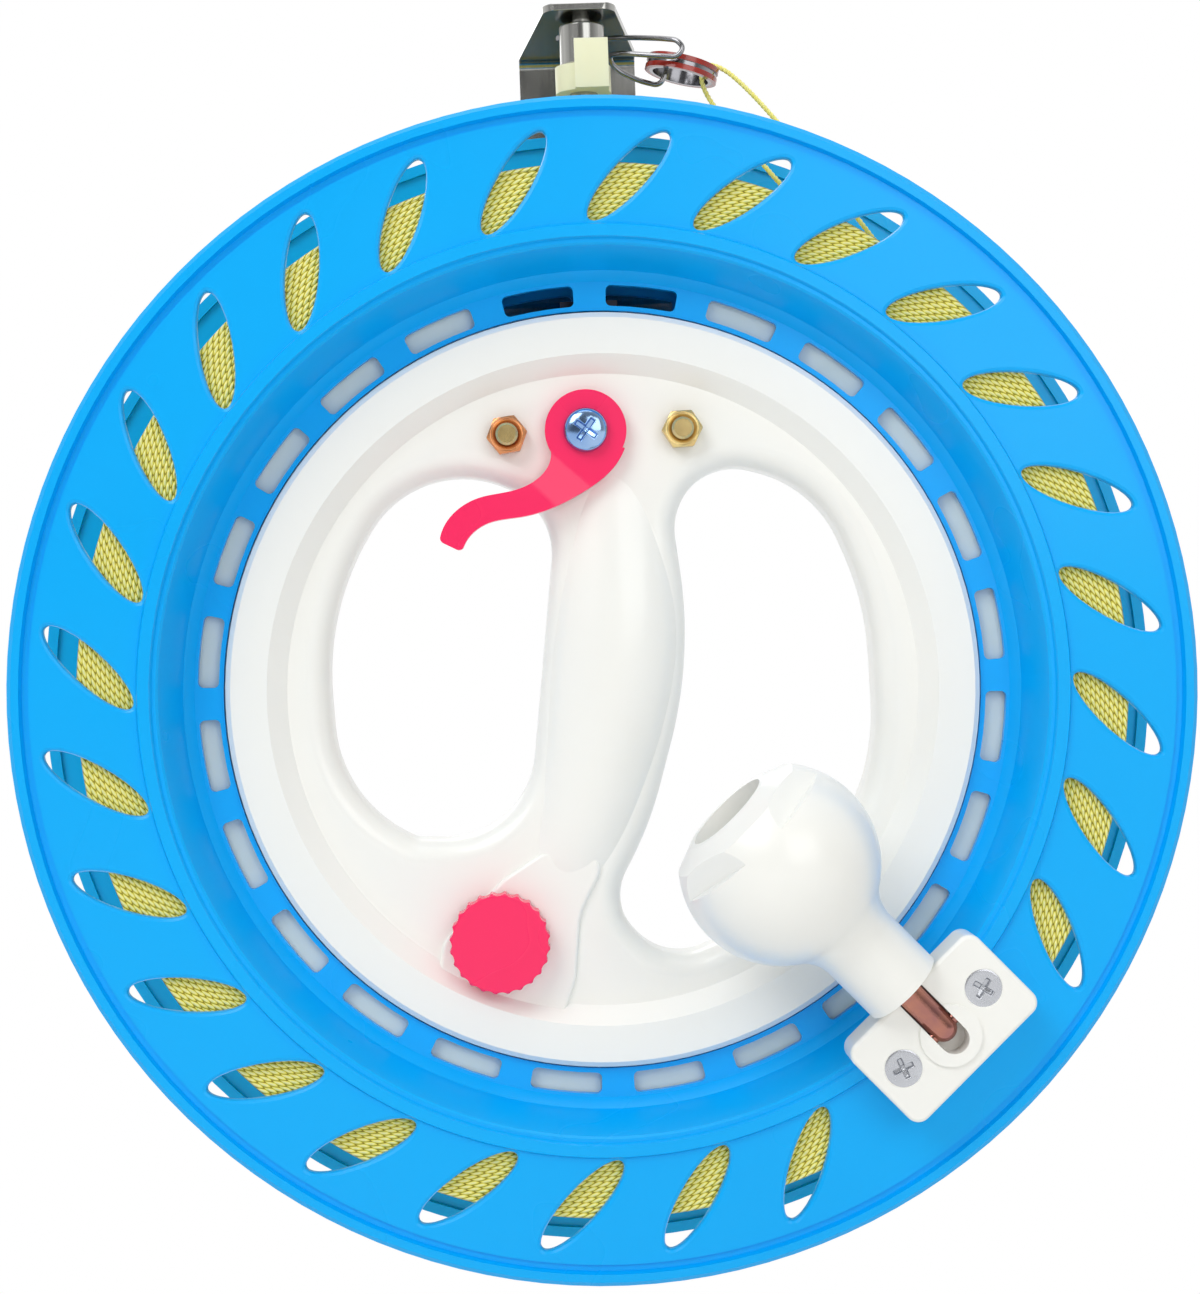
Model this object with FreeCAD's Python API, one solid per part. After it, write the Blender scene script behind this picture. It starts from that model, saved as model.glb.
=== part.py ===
"""Kite line winder: a spool wheel that turns on a nylon ring round a hand-held hub.

Millimetres, +Z up. The origin is on the wheel's axis, half way through its width, in the
middle of the grip. The wheel's axis is Y, and the side with the crank faces -Y.
A depth is a distance in front of the middle plane, so a point at depth d has y = -d.
"""
import FreeCAD
import Part
import math
import os

V = FreeCAD.Vector
ORIGIN = V(0, 0, 0)
AXLE = V(0, 1, 0)
UP = V(0, 0, 1)

# ---- clearances -------------------------------------------------------------------------
RUN = 0.08            # radial running fit of a shaft in its bore
BEARING_RUN = 0.10    # radial running fit of the wheel on the nylon ring
LOOSE = 0.30          # gap between moving faces that must never touch
SIDE_GAP = 0.15       # side play of a part that slides or folds in a slot
SHARP = 0.5           # small break of a moulded edge

# ---- radii of the hub and the wheel, each set from the one inside it -------------------
HUB_R = 84.3
HUB_LIP = 3.8              # how far the hub's edge stands out over its spigot
HUB_GAP = 0.6              # air between the hub's edge and the wheel's floor
RING_T = 12.4              # the nylon ring's thickness along the radius
WHEEL_WALL = 7.0           # the moulded wall between the nylon ring and the line
GROOVE_H = 30.0            # how far the flanges stand out over the drum
HUB_SPIGOT_R = HUB_R - HUB_LIP
CHANNEL_R = HUB_SPIGOT_R + RING_T + BEARING_RUN
FLOOR_BORE_R = HUB_R + HUB_GAP
DRUM_R = CHANNEL_R + WHEEL_WALL
WHEEL_R = DRUM_R + GROOVE_H

# ---- wheel ------------------------------------------------------------------------------
WHEEL_HALF_WIDTH = 25.0
BEAD_RISE = 1.0
FLANGE_T = 2.4
RIM_BEAD_W = 3.2
RIM_BEAD_DEPTH = 4.6
RIM_GROOVE_W = 1.4
RIM_GROOVE_DEPTH = 0.6
INNER_BEAD_W = 3.5
INNER_BEAD_OUT_R = DRUM_R + 2.2
COVE_FLOOR_R = CHANNEL_R + 0.6
COVE_TOP_R = COVE_FLOOR_R + 3.8
COVE_FILLET = 2.2
FLOOR_DEPTH = 9.0
FLOOR_T = 2.0

WINDOW_COUNT = 24
WINDOW_LAND = 1.05         # floor left between the windows and the floor's bore
WINDOW_W = 4.7
WINDOW_MID_R = FLOOR_BORE_R + WINDOW_LAND + WINDOW_W / 2
WINDOW_ARC = 10.3
WINDOW_CORNER = 1.2
WINDOW_START = 7.5

SLOT_PLACES = 28
SLOT_START = 33.9
SLOTS_LEFT_OUT = (21, 22)
SLOT_SET_IN = 1.2          # the slots sit this much nearer the hub than mid flange
SLOT_MID_R = (INNER_BEAD_OUT_R + WHEEL_R - RIM_BEAD_W - RIM_GROOVE_W) / 2 - SLOT_SET_IN
SLOT_LENGTH = 25.6
SLOT_WIDTH = 7.4
SLOT_LEAN = 40.0
SLOT_EDGE_R = 0.9
SLOT_EDGE_MID = 0.3        # share of that edge's width at the middle of its roll

NOTCH_DEPTH = 3.2
NOTCH_W = 7.2
NOTCH_HALF_WIDTH = 3.0

WHEEL_SCREW_COUNT = 8
WHEEL_SCREW_START = 22.5
WHEEL_SCREW_R = DRUM_R - 3.4
WHEEL_SCREW_SHANK = 2.6
WHEEL_SCREW_HEAD_D = 5.0
WHEEL_SCREW_HEAD_T = 1.9
WHEEL_SCREW_BITE = 12.0
WHEEL_SCREW_WALL = 8.0

LINE_PACK_R = DRUM_R + 16.4
LINE_PACK_CROWN = 1.0

# ---- hub --------------------------------------------------------------------------------
HUB_RING_DEPTH = 12.0
HUB_RING_IN_R = HUB_R - 9.3
HUB_DISH_R = HUB_RING_IN_R - 4.2
HUB_DISH_DEPTH = 8.5
HUB_EDGE = 1.2
HUB_WALL = 2.5
OPENING_EDGE_R = 5.0
OPENING_WALL = 4.0
GRIP_FRONT = 13.5
GRIP_BACK = 16.0

# Corners of the two finger openings, going round clockwise: angle in degrees, distance in
# from the edge of the hub's dish, corner radius.
LEFT_OPENING = [(102.6, 28.8, 16.0), (125.2, 2.4, 24.0), (161.8, 5.1, 62.0), (201.2, 6.1, 30.0),
                (216.6, 16.8, 4.0), (241.3, 32.7, 20.5)]
RIGHT_OPENING = [(74.4, 14.4, 14.0), (41.4, 3.8, 27.5), (15.9, 7.4, 65.0), (342.1, 5.8, 50.0),
                 (309.8, 4.4, 40.0), (281.3, 7.1, 13.0), (269.1, 21.7, 12.0),
                 (286.7, 38.1, 83.0), (17.7, 49.1, 98.0)]

# Stations of the raised grip: share of its length from the low end, middle x, half width,
# crest as a share of its full height.
GRIP_STATIONS = [(0.0, -12.0, 12.0, -0.1), (0.14, -8.2, 12.6, 0.3), (0.34, -1.9, 14.2, 0.8),
                 (0.54, 2.0, 15.6, 1.0), (0.71, 3.6, 15.0, 0.85), (0.84, 3.7, 13.6, 0.45),
                 (0.93, 3.4, 13.0, 0.15), (1.0, 3.0, 12.6, -0.05)]
GRIP_LOW_Z = 18.8 - HUB_DISH_R
GRIP_HIGH_Z = HUB_DISH_R - 22.8
GRIP_ROOT_DEPTH = 2.5
GRIP_RISE_FROM = HUB_DISH_DEPTH + 0.2

HUB_SCREW_ANGLES = (32.0, 148.0, 190.0, 222.0, 287.0, 328.0)
HUB_SCREW_R = HUB_DISH_R - 1.3
HUB_SCREW_SHANK = 3.5
HUB_SCREW_HEAD_D = 6.4
HUB_SCREW_HEAD_T = 2.4
HUB_BOSS_R = 4.6

# ---- nylon ring -------------------------------------------------------------------------
RING_HALF_WIDTH = 6.7
RING_GAP_HALF_ANGLE = 14.8
RING_RELIEF_DEPTH = 1.6
RING_RELIEF_HALF_WIDTH = 3.4

# ---- stop lever, its cam and the pawl ---------------------------------------------------
PIVOT_X = -2.0
PIVOT_Z = HUB_DISH_R - 12.8
LEVER_EYE_R = 9.1
LEVER_T = 3.0
LEVER_LIFT = 0.3
# Middle line of the lever's curved arm (x, z from the pivot) and its width there.
LEVER_ARM = [(0.0, -1.5, 18.1), (-1.6, -6.4, 14.4), (-4.4, -9.9, 10.4), (-8.6, -13.3, 7.6),
             (-16.0, -16.0, 6.1), (-23.6, -17.3, 6.0), (-28.5, -20.4, 6.1), (-30.9, -25.0, 5.6)]
LEVER_TIP_R = 1.2
# The arm steps forward between two bends, at these distances from the pivot along a slope line.
LEVER_STEP = 1.8
LEVER_BENDS = (9.0, 17.0)
LEVER_BEND_ANGLE = 227.0
LEVER_BEND_R = 6.0
LEVER_SHAFT_R = 4.0
LEVER_SCREW_HEAD_R = 4.95
LEVER_SCREW_HEAD_T = 3.2
LEVER_SCREW_R = 2.4
LEVER_SCREW_BITE = 9.0
LEVER_SWING = 25.0
CAM_R = 9.5
CAM_FRONT = 4.2
CAM_REAR = 1.2
CAM_PIN_R = 1.5
CAM_PIN_AT = 7.4
PAWL_FRONT = 0.9
PAWL_REAR = 2.4
PAWL_W = 13.0
PAWL_TOOTH_W = 6.4
PAWL_TIP_GAP = 1.2
PAWL_FOOT_DROP = 5.9

# ---- brake ------------------------------------------------------------------------------
BRAKE_R = HUB_DISH_R - 10.0
BRAKE_ANGLE = 245.5
BRAKE_X = BRAKE_R * math.cos(math.radians(BRAKE_ANGLE))
BRAKE_Z = BRAKE_R * math.sin(math.radians(BRAKE_ANGLE))
BRAKE_KNOB_R = 11.2
BRAKE_KNOB_T = 6.2
BRAKE_KNOB_EDGE = 0.8
BRAKE_FLUTES = 24
BRAKE_FLUTE_R = 1.9
BRAKE_FLUTE_DEPTH = 0.55
BRAKE_SHAFT_R = 4.0
BRAKE_CAM_R = 5.6
BRAKE_CAM_RISE = 0.6
BRAKE_CAM_TURN = 270.0
BRAKE_CAM_LEAD = 45.0      # run of the spiral before and after its working turn
BRAKE_CAM_STEPS = 18
BRAKE_CAM_HALF_T = 3.0
BRAKE_SHOE_W = 16.0
BRAKE_SHOE_HALF_T = 3.4
BRAKE_SHOE_GAP = 0.9
BRAKE_PIVOT_R = 2.5
BRAKE_PIVOT_BOSS_R = 2.6
BRAKE_PAD_DEPTH = 9.6
BRAKE_PAD_EDGE = 0.9
BRAKE_PAD_ROOT = 5.0
# Corners of the raised pad under the knob (x, z from the knob, corner radius). It runs up into
# the grip and out to the hub's raised ring.
BRAKE_PAD = [(10.2, 19.3, 4.0), (25.7, 19.3, 4.0), (18.2, 5.3, 14.0), (16.7, -9.2, 6.0),
             (13.2, -18.7, 2.0), (-15.3, -14.0, 2.0), (-12.8, 0.3, 6.0), (1.2, 13.8, 10.0)]

# ---- crank ------------------------------------------------------------------------------
CRANK_ANGLE = -47.1
CRANK_BASE_R = DRUM_R + 2.3
CRANK_BASE_W = 22.5
CRANK_BASE_LENGTH = 38.0
CRANK_BASE_T = 11.5
CRANK_BASE_CORNER = 3.0
CRANK_BASE_EDGE = 1.0
CRANK_PIVOT_R = CRANK_BASE_R - 0.1
CRANK_PIVOT_DEPTH = 33.8
CRANK_SLOT_RUN_OUT = 3.0   # how far the slot's round end lies beyond the pivot
CRANK_BOSS_AT = 2.0        # how far the boss round the slot's end lies beyond the pivot
CRANK_BOSS_R = 6.7
CRANK_BOSS_RISE = 0.8
CRANK_SHAFT_R = 3.1
CRANK_PIN_R = 1.5
CRANK_PIN_HALF_LENGTH = 6.0
CRANK_FOLD = 5.0
CRANK_SCREW_R = CRANK_BASE_R - 0.2
CRANK_SCREW_PITCH = 24.3
CRANK_SCREW_HEAD_R = 4.2
CRANK_SCREW_HEAD_T = 2.4
CRANK_SCREW_SHANK_R = 2.0
CRANK_SCREW_LENGTH = 19.0
CRANK_SCREW_BOSS_R = 4.4
CRANK_SCREW_BOSS_END = 1.5 # how far its boss runs on behind each screw's point

# Distances along the crank are from its pivot.
KNOB_START = 12.6
KNOB_STEM_R = 9.1
KNOB_FLARE_R = 9.0
KNOB_BALL_AT = 50.6
KNOB_BALL_R = 21.6
KNOB_SHOULDER = 13.6       # from the ball's middle to where its nose flattens
KNOB_NOSE = 16.1           # from the ball's middle to the mouth
KNOB_MOUTH_AT = KNOB_BALL_AT + KNOB_NOSE
KNOB_NOSE_R = 10.9
KNOB_MOUTH_R = 9.6
KNOB_CAVITY_AT = 45.0
KNOB_NOTCH_START = 45.0
KNOB_NOTCH_AT = 9.1        # from the ball's middle to the step that ends each notch
KNOB_NOTCH_DEEP_R = 17.0
KNOB_NOTCH_MOUTH_R = 14.8
KNOB_WASHER_R = 6.0
KNOB_WASHER_T = 1.2
KNOB_SCREW_HEAD_R = 4.4
KNOB_SCREW_HEAD_T = 2.8
KNOB_SCREW_R = 1.9
KNOB_SCREW_BITE = 10.0

# ---- line guide bracket -----------------------------------------------------------------
BOLT_X = 19.6
BOLT_Z = PIVOT_Z - 0.4
BOLT_R = 2.5
BOLT_HEAD_T = 3.5
BOLT_END_DEPTH = 14.2
NUT_ACROSS_CORNERS = 9.24
NUT_T = 4.0
WASHER_R = 4.6
WASHER_T = 0.8

SHEET_T = 1.5
BRACKET_W = 27.4
BRACKET_FOOT_W = 52.0
BRACKET_FOOT_LOW = BOLT_Z - 7.7
BRACKET_FOOT_HIGH = HUB_DISH_R - 7.0
BRACKET_JOG_HIGH = HUB_R + 6.7
BRACKET_BACK_GAP = 1.6
BRACKET_BACK_DEPTH = WHEEL_HALF_WIDTH + BRACKET_BACK_GAP
BRACKET_FOLD_Z = WHEEL_R + 18.6
BRACKET_SLOPE = 6.0
BRACKET_FRONT_DEPTH = 9.0
BRACKET_WIDE_TO = BRACKET_JOG_HIGH + 4.0
BRACKET_SHOULDER = 14.0    # height over which its sides come in above that
BRACKET_FOOT_CORNER = 4.0
BRACKET_SIDE_R = 8.0
BRACKET_NOSE_W = 15.4
BRACKET_NOSE_R = 3.5
BRACKET_TAPER = 3.0        # the shelf keeps its full width this far from the fold
BRACKET_ROOM = 12.0        # room over and behind the fold that the cutting plan takes in
BEND_INNER_R = 2.0
BURR = 0.2

GUIDE_X = 0.6
GUIDE_DEPTH = 1.0
GUIDE_AXLE_R = 2.0
GUIDE_AXLE_HEAD_R = 3.2
GUIDE_AXLE_HEAD_T = 1.2
GUIDE_AXLE_RIVET = 1.2     # how far its riveted end stands over the shelf
ROLLER_R = 5.1
ROLLER_TOP_Z = BRACKET_FOLD_Z + 1.9
COLLAR_R = 6.3
COLLAR_LOW_Z = WHEEL_R + 5.0
COLLAR_HIGH_Z = COLLAR_LOW_Z + 6.0
TAB_W = 7.6
TAB_SIDE = 1.8
TAB_T = 2.2
TAB_TOP_Z = COLLAR_HIGH_Z + 5.0

# ---- snap clip, line ring and the free line --------------------------------------------
SNAP_WIRE_R = 0.6
SNAP_CROOK_Z = BRACKET_FOLD_Z + 0.1
# Directions round the roller that the crook's corners stand at, and the angle between them.
SNAP_CROOK_ANGLES = (150.0, 120.0, 90.0)
SNAP_CROOK_STEP = 30.0
# The rest of the wire's route (x, y, height from the crook): a loop before the ring, the return,
# and the hook up into the ring.
SNAP_ROUTE = [(10.4, 1.6, -0.4), (18.6, -4.2, -2.3), (21.9, -6.2, -3.2), (23.4, -6.6, -5.2),
              (21.6, -6.4, -7.1), (15.6, -5.2, -6.2), (10.0, -2.4, -5.0), (7.0, 0.2, -4.6),
              (7.0, 2.4, -5.8), (9.0, 3.2, -7.8), (13.8, 3.3, -10.2), (18.2, 3.0, -11.4),
              (19.7, 2.8, -8.6), (20.4, 2.8, -5.4)]
LINE_RING_X = 23.4
LINE_RING_Y = 3.5
LINE_RING_Z = SNAP_CROOK_Z - 7.8
LINE_RING_R = 8.0
LINE_RING_BORE_R = 6.5
LINE_RING_H = 3.3
LINE_RING_ROLL = 15.0
BAND_T = 0.7
BAND_H = 1.15
LINE_D = 1.2
# Route points (x, y, z) of the free line: off the winding, through the ring, and back.
LINE_ROUTE = [(54.8, -1.2, 104.3), (49.2, -1.0, 108.3), (44.8, -0.8, 113.0), (38.6, 0.4, 121.0),
              (33.0, 1.6, 128.4), (29.2, 2.6, 133.8), (27.5, 3.3, 138.6), (28.8, 3.6, 142.3),
              (33.1, 3.6, 140.9), (37.3, 3.0, 136.9), (41.6, 2.2, 131.9), (47.6, 1.2, 124.2),
              (55.2, 0.2, 114.4), (62.8, -0.8, 103.8), (67.2, -1.2, 97.4), (72.2, -1.2, 93.2)]


# ==== helpers ==============================================================================
def save(name, shape):
    """Write one sub-part as parts/NAME.step."""
    shape.exportStep("parts/" + name + ".step")


def turned(profile):
    """Revolve a closed list of (radius, y) points about the wheel's axis."""
    points = [V(r, y, 0) for r, y in profile]
    face = Part.Face(Part.makePolygon(points + points[:1]))
    return face.revolve(ORIGIN, AXLE, 360)


def at_depth(profile):
    """Turn a closed list of (radius, depth) points into a solid about the wheel's axis."""
    return turned([(r, -depth) for r, depth in profile])


def rod(radius, x, z, depth_a, depth_b):
    """A round bar along the wheel's axis, between two depths."""
    low, high = min(depth_a, depth_b), max(depth_a, depth_b)
    return Part.makeCylinder(radius, high - low, V(x, -high, z), AXLE)


def hexagon(across_corners, x, z, depth_a, depth_b):
    """A hexagonal bar along the wheel's axis, between two depths."""
    corners = [V(x + across_corners / 2 * math.cos(math.radians(60 * k + 30)), -depth_a,
                 z + across_corners / 2 * math.sin(math.radians(60 * k + 30))) for k in range(6)]
    return prism(Part.makePolygon(corners + corners[:1]), depth_b - depth_a)


def prism(wire, forward):
    """Extrude a flat wire towards the front by a distance."""
    return Part.Face(Part.Wire(wire)).extrude(V(0, -forward, 0))


def rounded_wire(corners, depth):
    """A closed outline of straight runs with a tangent arc at each (x, z, radius) corner."""
    edges = []
    first = last = None
    count = len(corners)
    for k in range(count):
        here = V(corners[k][0], -depth, corners[k][1])
        before = V(corners[k - 1][0], -depth, corners[k - 1][1]) - here
        after = V(corners[(k + 1) % count][0], -depth, corners[(k + 1) % count][1]) - here
        half = before.getAngle(after) / 2
        before.normalize()
        after.normalize()
        reach = corners[k][2] / math.tan(half)
        start = here + before * reach
        end = here + after * reach
        middle = before + after
        middle.normalize()
        top = here + middle * (corners[k][2] / math.sin(half) - corners[k][2])
        if last is not None:
            edges.append(Part.LineSegment(last, start).toShape())
        else:
            first = start
        edges.append(Part.Arc(start, top, end).toShape())
        last = end
    edges.append(Part.LineSegment(last, first).toShape())
    return Part.Wire(edges)


def spun(shape, angle):
    """Turn a shape about the wheel's axis, anticlockwise as seen from the front."""
    copy = shape.copy()
    copy.rotate(ORIGIN, AXLE, -angle)
    return copy


def around(shape, count, start=0.0, skip=()):
    """Copies of a shape, evenly spaced round the wheel's axis."""
    return [spun(shape, start + 360.0 * k / count) for k in range(count) if k not in skip]


def mirrored(shape):
    """The same shape on the other side of the middle plane."""
    return shape.mirror(ORIGIN, AXLE)


def edges_where(shape, test):
    """The edges whose every sampled point passes a test."""
    found = []
    for edge in shape.Edges:
        if all(test(point) for point in edge.discretize(5)):
            found.append(edge)
    return found


def tube(points, radius):
    """A round tube along straight runs joined by tangent arcs; it prints its bend radii."""
    pts = [V(*p) for p in points]
    edges = []
    last = pts[0]
    radii = []
    for before, here, after in zip(pts, pts[1:], pts[2:]):
        back = before - here
        on = after - here
        turn = math.pi - back.getAngle(on)
        bend = 0.45 * min(back.Length, on.Length) / math.tan(turn / 2)
        back.normalize()
        on.normalize()
        reach = bend * math.tan(turn / 2)
        middle = back + on
        middle.normalize()
        top = here + middle * (bend / math.cos(turn / 2) - bend)
        edges.append(Part.LineSegment(last, here + back * reach).toShape())
        edges.append(Part.Arc(here + back * reach, top, here + on * reach).toShape())
        last = here + on * reach
        radii.append(round(bend, 1))
    edges.append(Part.LineSegment(last, pts[-1]).toShape())
    path = Part.Wire(edges)
    start = Part.Wire([Part.makeCircle(radius, pts[0], pts[1] - pts[0])])
    solid = path.makePipeShell([start], True, False)
    print("tube: length", round(path.Length, 1), "bend radii", radii,
          "volume share", round(solid.Volume / (math.pi * radius ** 2 * path.Length), 4))
    return solid


# ==== wheel ================================================================================
def wheel_profile():
    """Section (radius, depth) of one moulded half, from the middle plane to the front."""
    front = WHEEL_HALF_WIDTH
    flange = front - BEAD_RISE
    back = flange - FLANGE_T
    rim_in = WHEEL_R - RIM_BEAD_W
    bead_in = INNER_BEAD_OUT_R - INNER_BEAD_W
    return [(CHANNEL_R, 0), (CHANNEL_R, FLOOR_DEPTH - FLOOR_T), (FLOOR_BORE_R, FLOOR_DEPTH - FLOOR_T),
            (FLOOR_BORE_R, FLOOR_DEPTH), (COVE_FLOOR_R - COVE_FILLET, FLOOR_DEPTH),
            (COVE_FLOOR_R, FLOOR_DEPTH + COVE_FILLET), (COVE_TOP_R, flange - SHARP),
            (COVE_TOP_R + SHARP, flange), (bead_in, flange), (bead_in + SHARP, front),
            (INNER_BEAD_OUT_R - SHARP, front), (INNER_BEAD_OUT_R, flange),
            (rim_in - RIM_GROOVE_W, flange), (rim_in - RIM_GROOVE_W, flange - RIM_GROOVE_DEPTH),
            (rim_in, flange - RIM_GROOVE_DEPTH), (rim_in + SHARP, front),
            (WHEEL_R - 2 * SHARP, front), (WHEEL_R, front - 2 * SHARP),
            (WHEEL_R, front - RIM_BEAD_DEPTH), (WHEEL_R - FLANGE_T, front - RIM_BEAD_DEPTH),
            (WHEEL_R - FLANGE_T, back), (DRUM_R + 1.0, back), (DRUM_R, back - 1.0), (DRUM_R, 0)]


def window_cutter():
    """One rounded window of the floor ring, at angle zero."""
    outer = WINDOW_MID_R + WINDOW_W / 2
    inner = WINDOW_MID_R - WINDOW_W / 2
    half = math.radians(WINDOW_ARC / 2)
    depth = FLOOR_DEPTH + LOOSE
    points = [(r, a) for r, a in ((inner, -half), (inner, 0), (inner, half),
                                  (outer, half), (outer, 0), (outer, -half))]
    p = [V(r * math.cos(a), -depth, r * math.sin(a)) for r, a in points]
    wire = Part.Wire([Part.Arc(p[0], p[1], p[2]).toShape(), Part.LineSegment(p[2], p[3]).toShape(),
                      Part.Arc(p[3], p[4], p[5]).toShape(), Part.LineSegment(p[5], p[0]).toShape()])
    block = Part.Face(wire).extrude(V(0, FLOOR_T + 2 * LOOSE, 0))
    corners = [e for e in block.Edges if abs(e.BoundBox.YLength - FLOOR_T - 2 * LOOSE) < 1e-6]
    return block.makeFillet(WINDOW_CORNER, corners)


def leaf(grow, depth):
    """A slot's outline, grown all round by a distance, at a depth."""
    wire = Part.Wire([Part.Ellipse(ORIGIN, SLOT_LENGTH / 2 + grow, SLOT_WIDTH / 2 + grow).toShape()])
    wire.rotate(ORIGIN, V(1, 0, 0), 90)
    wire.rotate(ORIGIN, AXLE, SLOT_LEAN)
    wire.translate(V(SLOT_MID_R, -depth, 0))
    return wire


def slot_cutter():
    """One leaf-shaped slot of the flange with its eased front edge, at angle zero, leaning."""
    front = WHEEL_HALF_WIDTH - BEAD_RISE
    middle = SLOT_EDGE_MID * SLOT_EDGE_R
    ease = [leaf(0.0, front - SLOT_EDGE_R), leaf(middle, front - middle), leaf(SLOT_EDGE_R, front)]
    return Part.makeLoft([leaf(0.0, front - FLANGE_T - BEAD_RISE)] + ease
                         + [leaf(SLOT_EDGE_R, front + BEAD_RISE)], True, True)


def notch_cutter():
    """One stop notch in the wall that runs on the nylon ring, at angle zero."""
    low = CHANNEL_R - 1.0
    return Part.makeBox(CHANNEL_R + NOTCH_DEPTH - low, 2 * NOTCH_HALF_WIDTH, NOTCH_W,
                        V(low, -NOTCH_HALF_WIDTH, -NOTCH_W / 2))


def wheel_half():
    """The front half, with its windows, slots and half of each stop notch."""
    half = at_depth(wheel_profile())
    cutters = around(window_cutter(), WINDOW_COUNT, WINDOW_START)
    cutters += around(slot_cutter(), SLOT_PLACES, SLOT_START, SLOTS_LEFT_OUT)
    cutters += around(notch_cutter(), WINDOW_COUNT)
    return half.cut(Part.makeCompound(cutters))


def crank_frame(shape):
    """Place a shape made at angle zero at the crank's place on the wheel."""
    return spun(shape, CRANK_ANGLE)


def crank_screw_places():
    """Where the crank base's two screws go, at angle zero."""
    return [(CRANK_SCREW_R, side * CRANK_SCREW_PITCH / 2) for side in (-1, 1)]


def crank_screw_bosses(extra=0.0):
    """The bosses behind the front flange that the crank base's screws bite in."""
    top = WHEEL_HALF_WIDTH - BEAD_RISE - FLANGE_T
    low = WHEEL_HALF_WIDTH - BEAD_RISE + CRANK_BASE_T - CRANK_SCREW_LENGTH - CRANK_SCREW_BOSS_END
    return [crank_frame(rod(CRANK_SCREW_BOSS_R + extra, r, z, low - extra, top))
            for r, z in crank_screw_places()]


def wheel_front():
    """Front half with the bosses and pilot holes for its screws."""
    half = wheel_half()
    half = half.fuse(crank_screw_bosses())
    low = WHEEL_HALF_WIDTH - BEAD_RISE + CRANK_BASE_T - CRANK_SCREW_LENGTH
    holes = [crank_frame(rod(CRANK_SCREW_SHANK_R, r, z, low, WHEEL_HALF_WIDTH + 1))
             for r, z in crank_screw_places()]
    pilot = rod(WHEEL_SCREW_SHANK / 2, WHEEL_SCREW_R, 0, -1, WHEEL_SCREW_BITE)
    holes += around(pilot, WHEEL_SCREW_COUNT, WHEEL_SCREW_START)
    return half.cut(Part.makeCompound(holes))


def wheel_rear():
    """Rear half, with a deep pocket over each joining screw."""
    half = mirrored(wheel_half())
    shank = rod(WHEEL_SCREW_SHANK / 2, WHEEL_SCREW_R, 0, 1, -WHEEL_SCREW_WALL - 1)
    pocket = rod(WHEEL_SCREW_HEAD_D / 2 + SIDE_GAP, WHEEL_SCREW_R, 0,
                 -WHEEL_SCREW_WALL, -WHEEL_HALF_WIDTH - 1)
    holes = around(shank.fuse(pocket), WHEEL_SCREW_COUNT, WHEEL_SCREW_START)
    return half.cut(Part.makeCompound(holes))


def wheel_screws():
    """Self-tapping screws that draw the two halves of the wheel together."""
    shank = rod(WHEEL_SCREW_SHANK / 2, WHEEL_SCREW_R, 0, -WHEEL_SCREW_WALL, WHEEL_SCREW_BITE)
    head = rod(WHEEL_SCREW_HEAD_D / 2, WHEEL_SCREW_R, 0,
               -WHEEL_SCREW_WALL - WHEEL_SCREW_HEAD_T, -WHEEL_SCREW_WALL)
    return Part.makeCompound(around(shank.fuse(head), WHEEL_SCREW_COUNT, WHEEL_SCREW_START))


def wound_line():
    """The full winding between the flanges, slightly crowned."""
    side = WHEEL_HALF_WIDTH - BEAD_RISE - FLANGE_T
    foot = V(DRUM_R, -side + 1.0, 0)
    edges = [Part.LineSegment(V(DRUM_R, side - 1.0, 0), foot),
             Part.LineSegment(foot, V(DRUM_R + 1.0, -side, 0)),
             Part.LineSegment(V(DRUM_R + 1.0, -side, 0), V(LINE_PACK_R - LINE_PACK_CROWN, -side, 0)),
             Part.Arc(V(LINE_PACK_R - LINE_PACK_CROWN, -side, 0), V(LINE_PACK_R, 0, 0),
                      V(LINE_PACK_R - LINE_PACK_CROWN, side, 0)),
             Part.LineSegment(V(LINE_PACK_R - LINE_PACK_CROWN, side, 0), V(DRUM_R + 1.0, side, 0)),
             Part.LineSegment(V(DRUM_R + 1.0, side, 0), V(DRUM_R, side - 1.0, 0))]
    face = Part.Face(Part.Wire([e.toShape() for e in edges]))
    pack = face.revolve(ORIGIN, AXLE, 360)
    return pack.cut(Part.makeCompound(crank_screw_bosses(LOOSE)))


# ==== hub ==================================================================================
def hub_disc():
    """Solid front disc of the hub: raised ring, dish and the spigot inside the nylon ring."""
    return at_depth([(0, 0), (HUB_SPIGOT_R, 0), (HUB_SPIGOT_R, RING_HALF_WIDTH),
                     (HUB_R, RING_HALF_WIDTH), (HUB_R, HUB_RING_DEPTH - HUB_EDGE),
                     (HUB_R - HUB_EDGE, HUB_RING_DEPTH), (HUB_RING_IN_R, HUB_RING_DEPTH),
                     (HUB_DISH_R, HUB_DISH_DEPTH), (0, HUB_DISH_DEPTH)])


def opening_blocks(grow=0.0):
    """The two finger openings as prisms, which can be grown by a wall."""
    blocks = []
    for places in (LEFT_OPENING, RIGHT_OPENING):
        corners = [(*polar(HUB_DISH_R - inset, angle), r) for angle, inset, r in places]
        wire = rounded_wire(corners, -1.0)
        if grow:
            wire = wire.makeOffset2D(grow)
        blocks.append(prism(wire, HUB_RING_DEPTH + GRIP_BACK))
    return blocks


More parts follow.
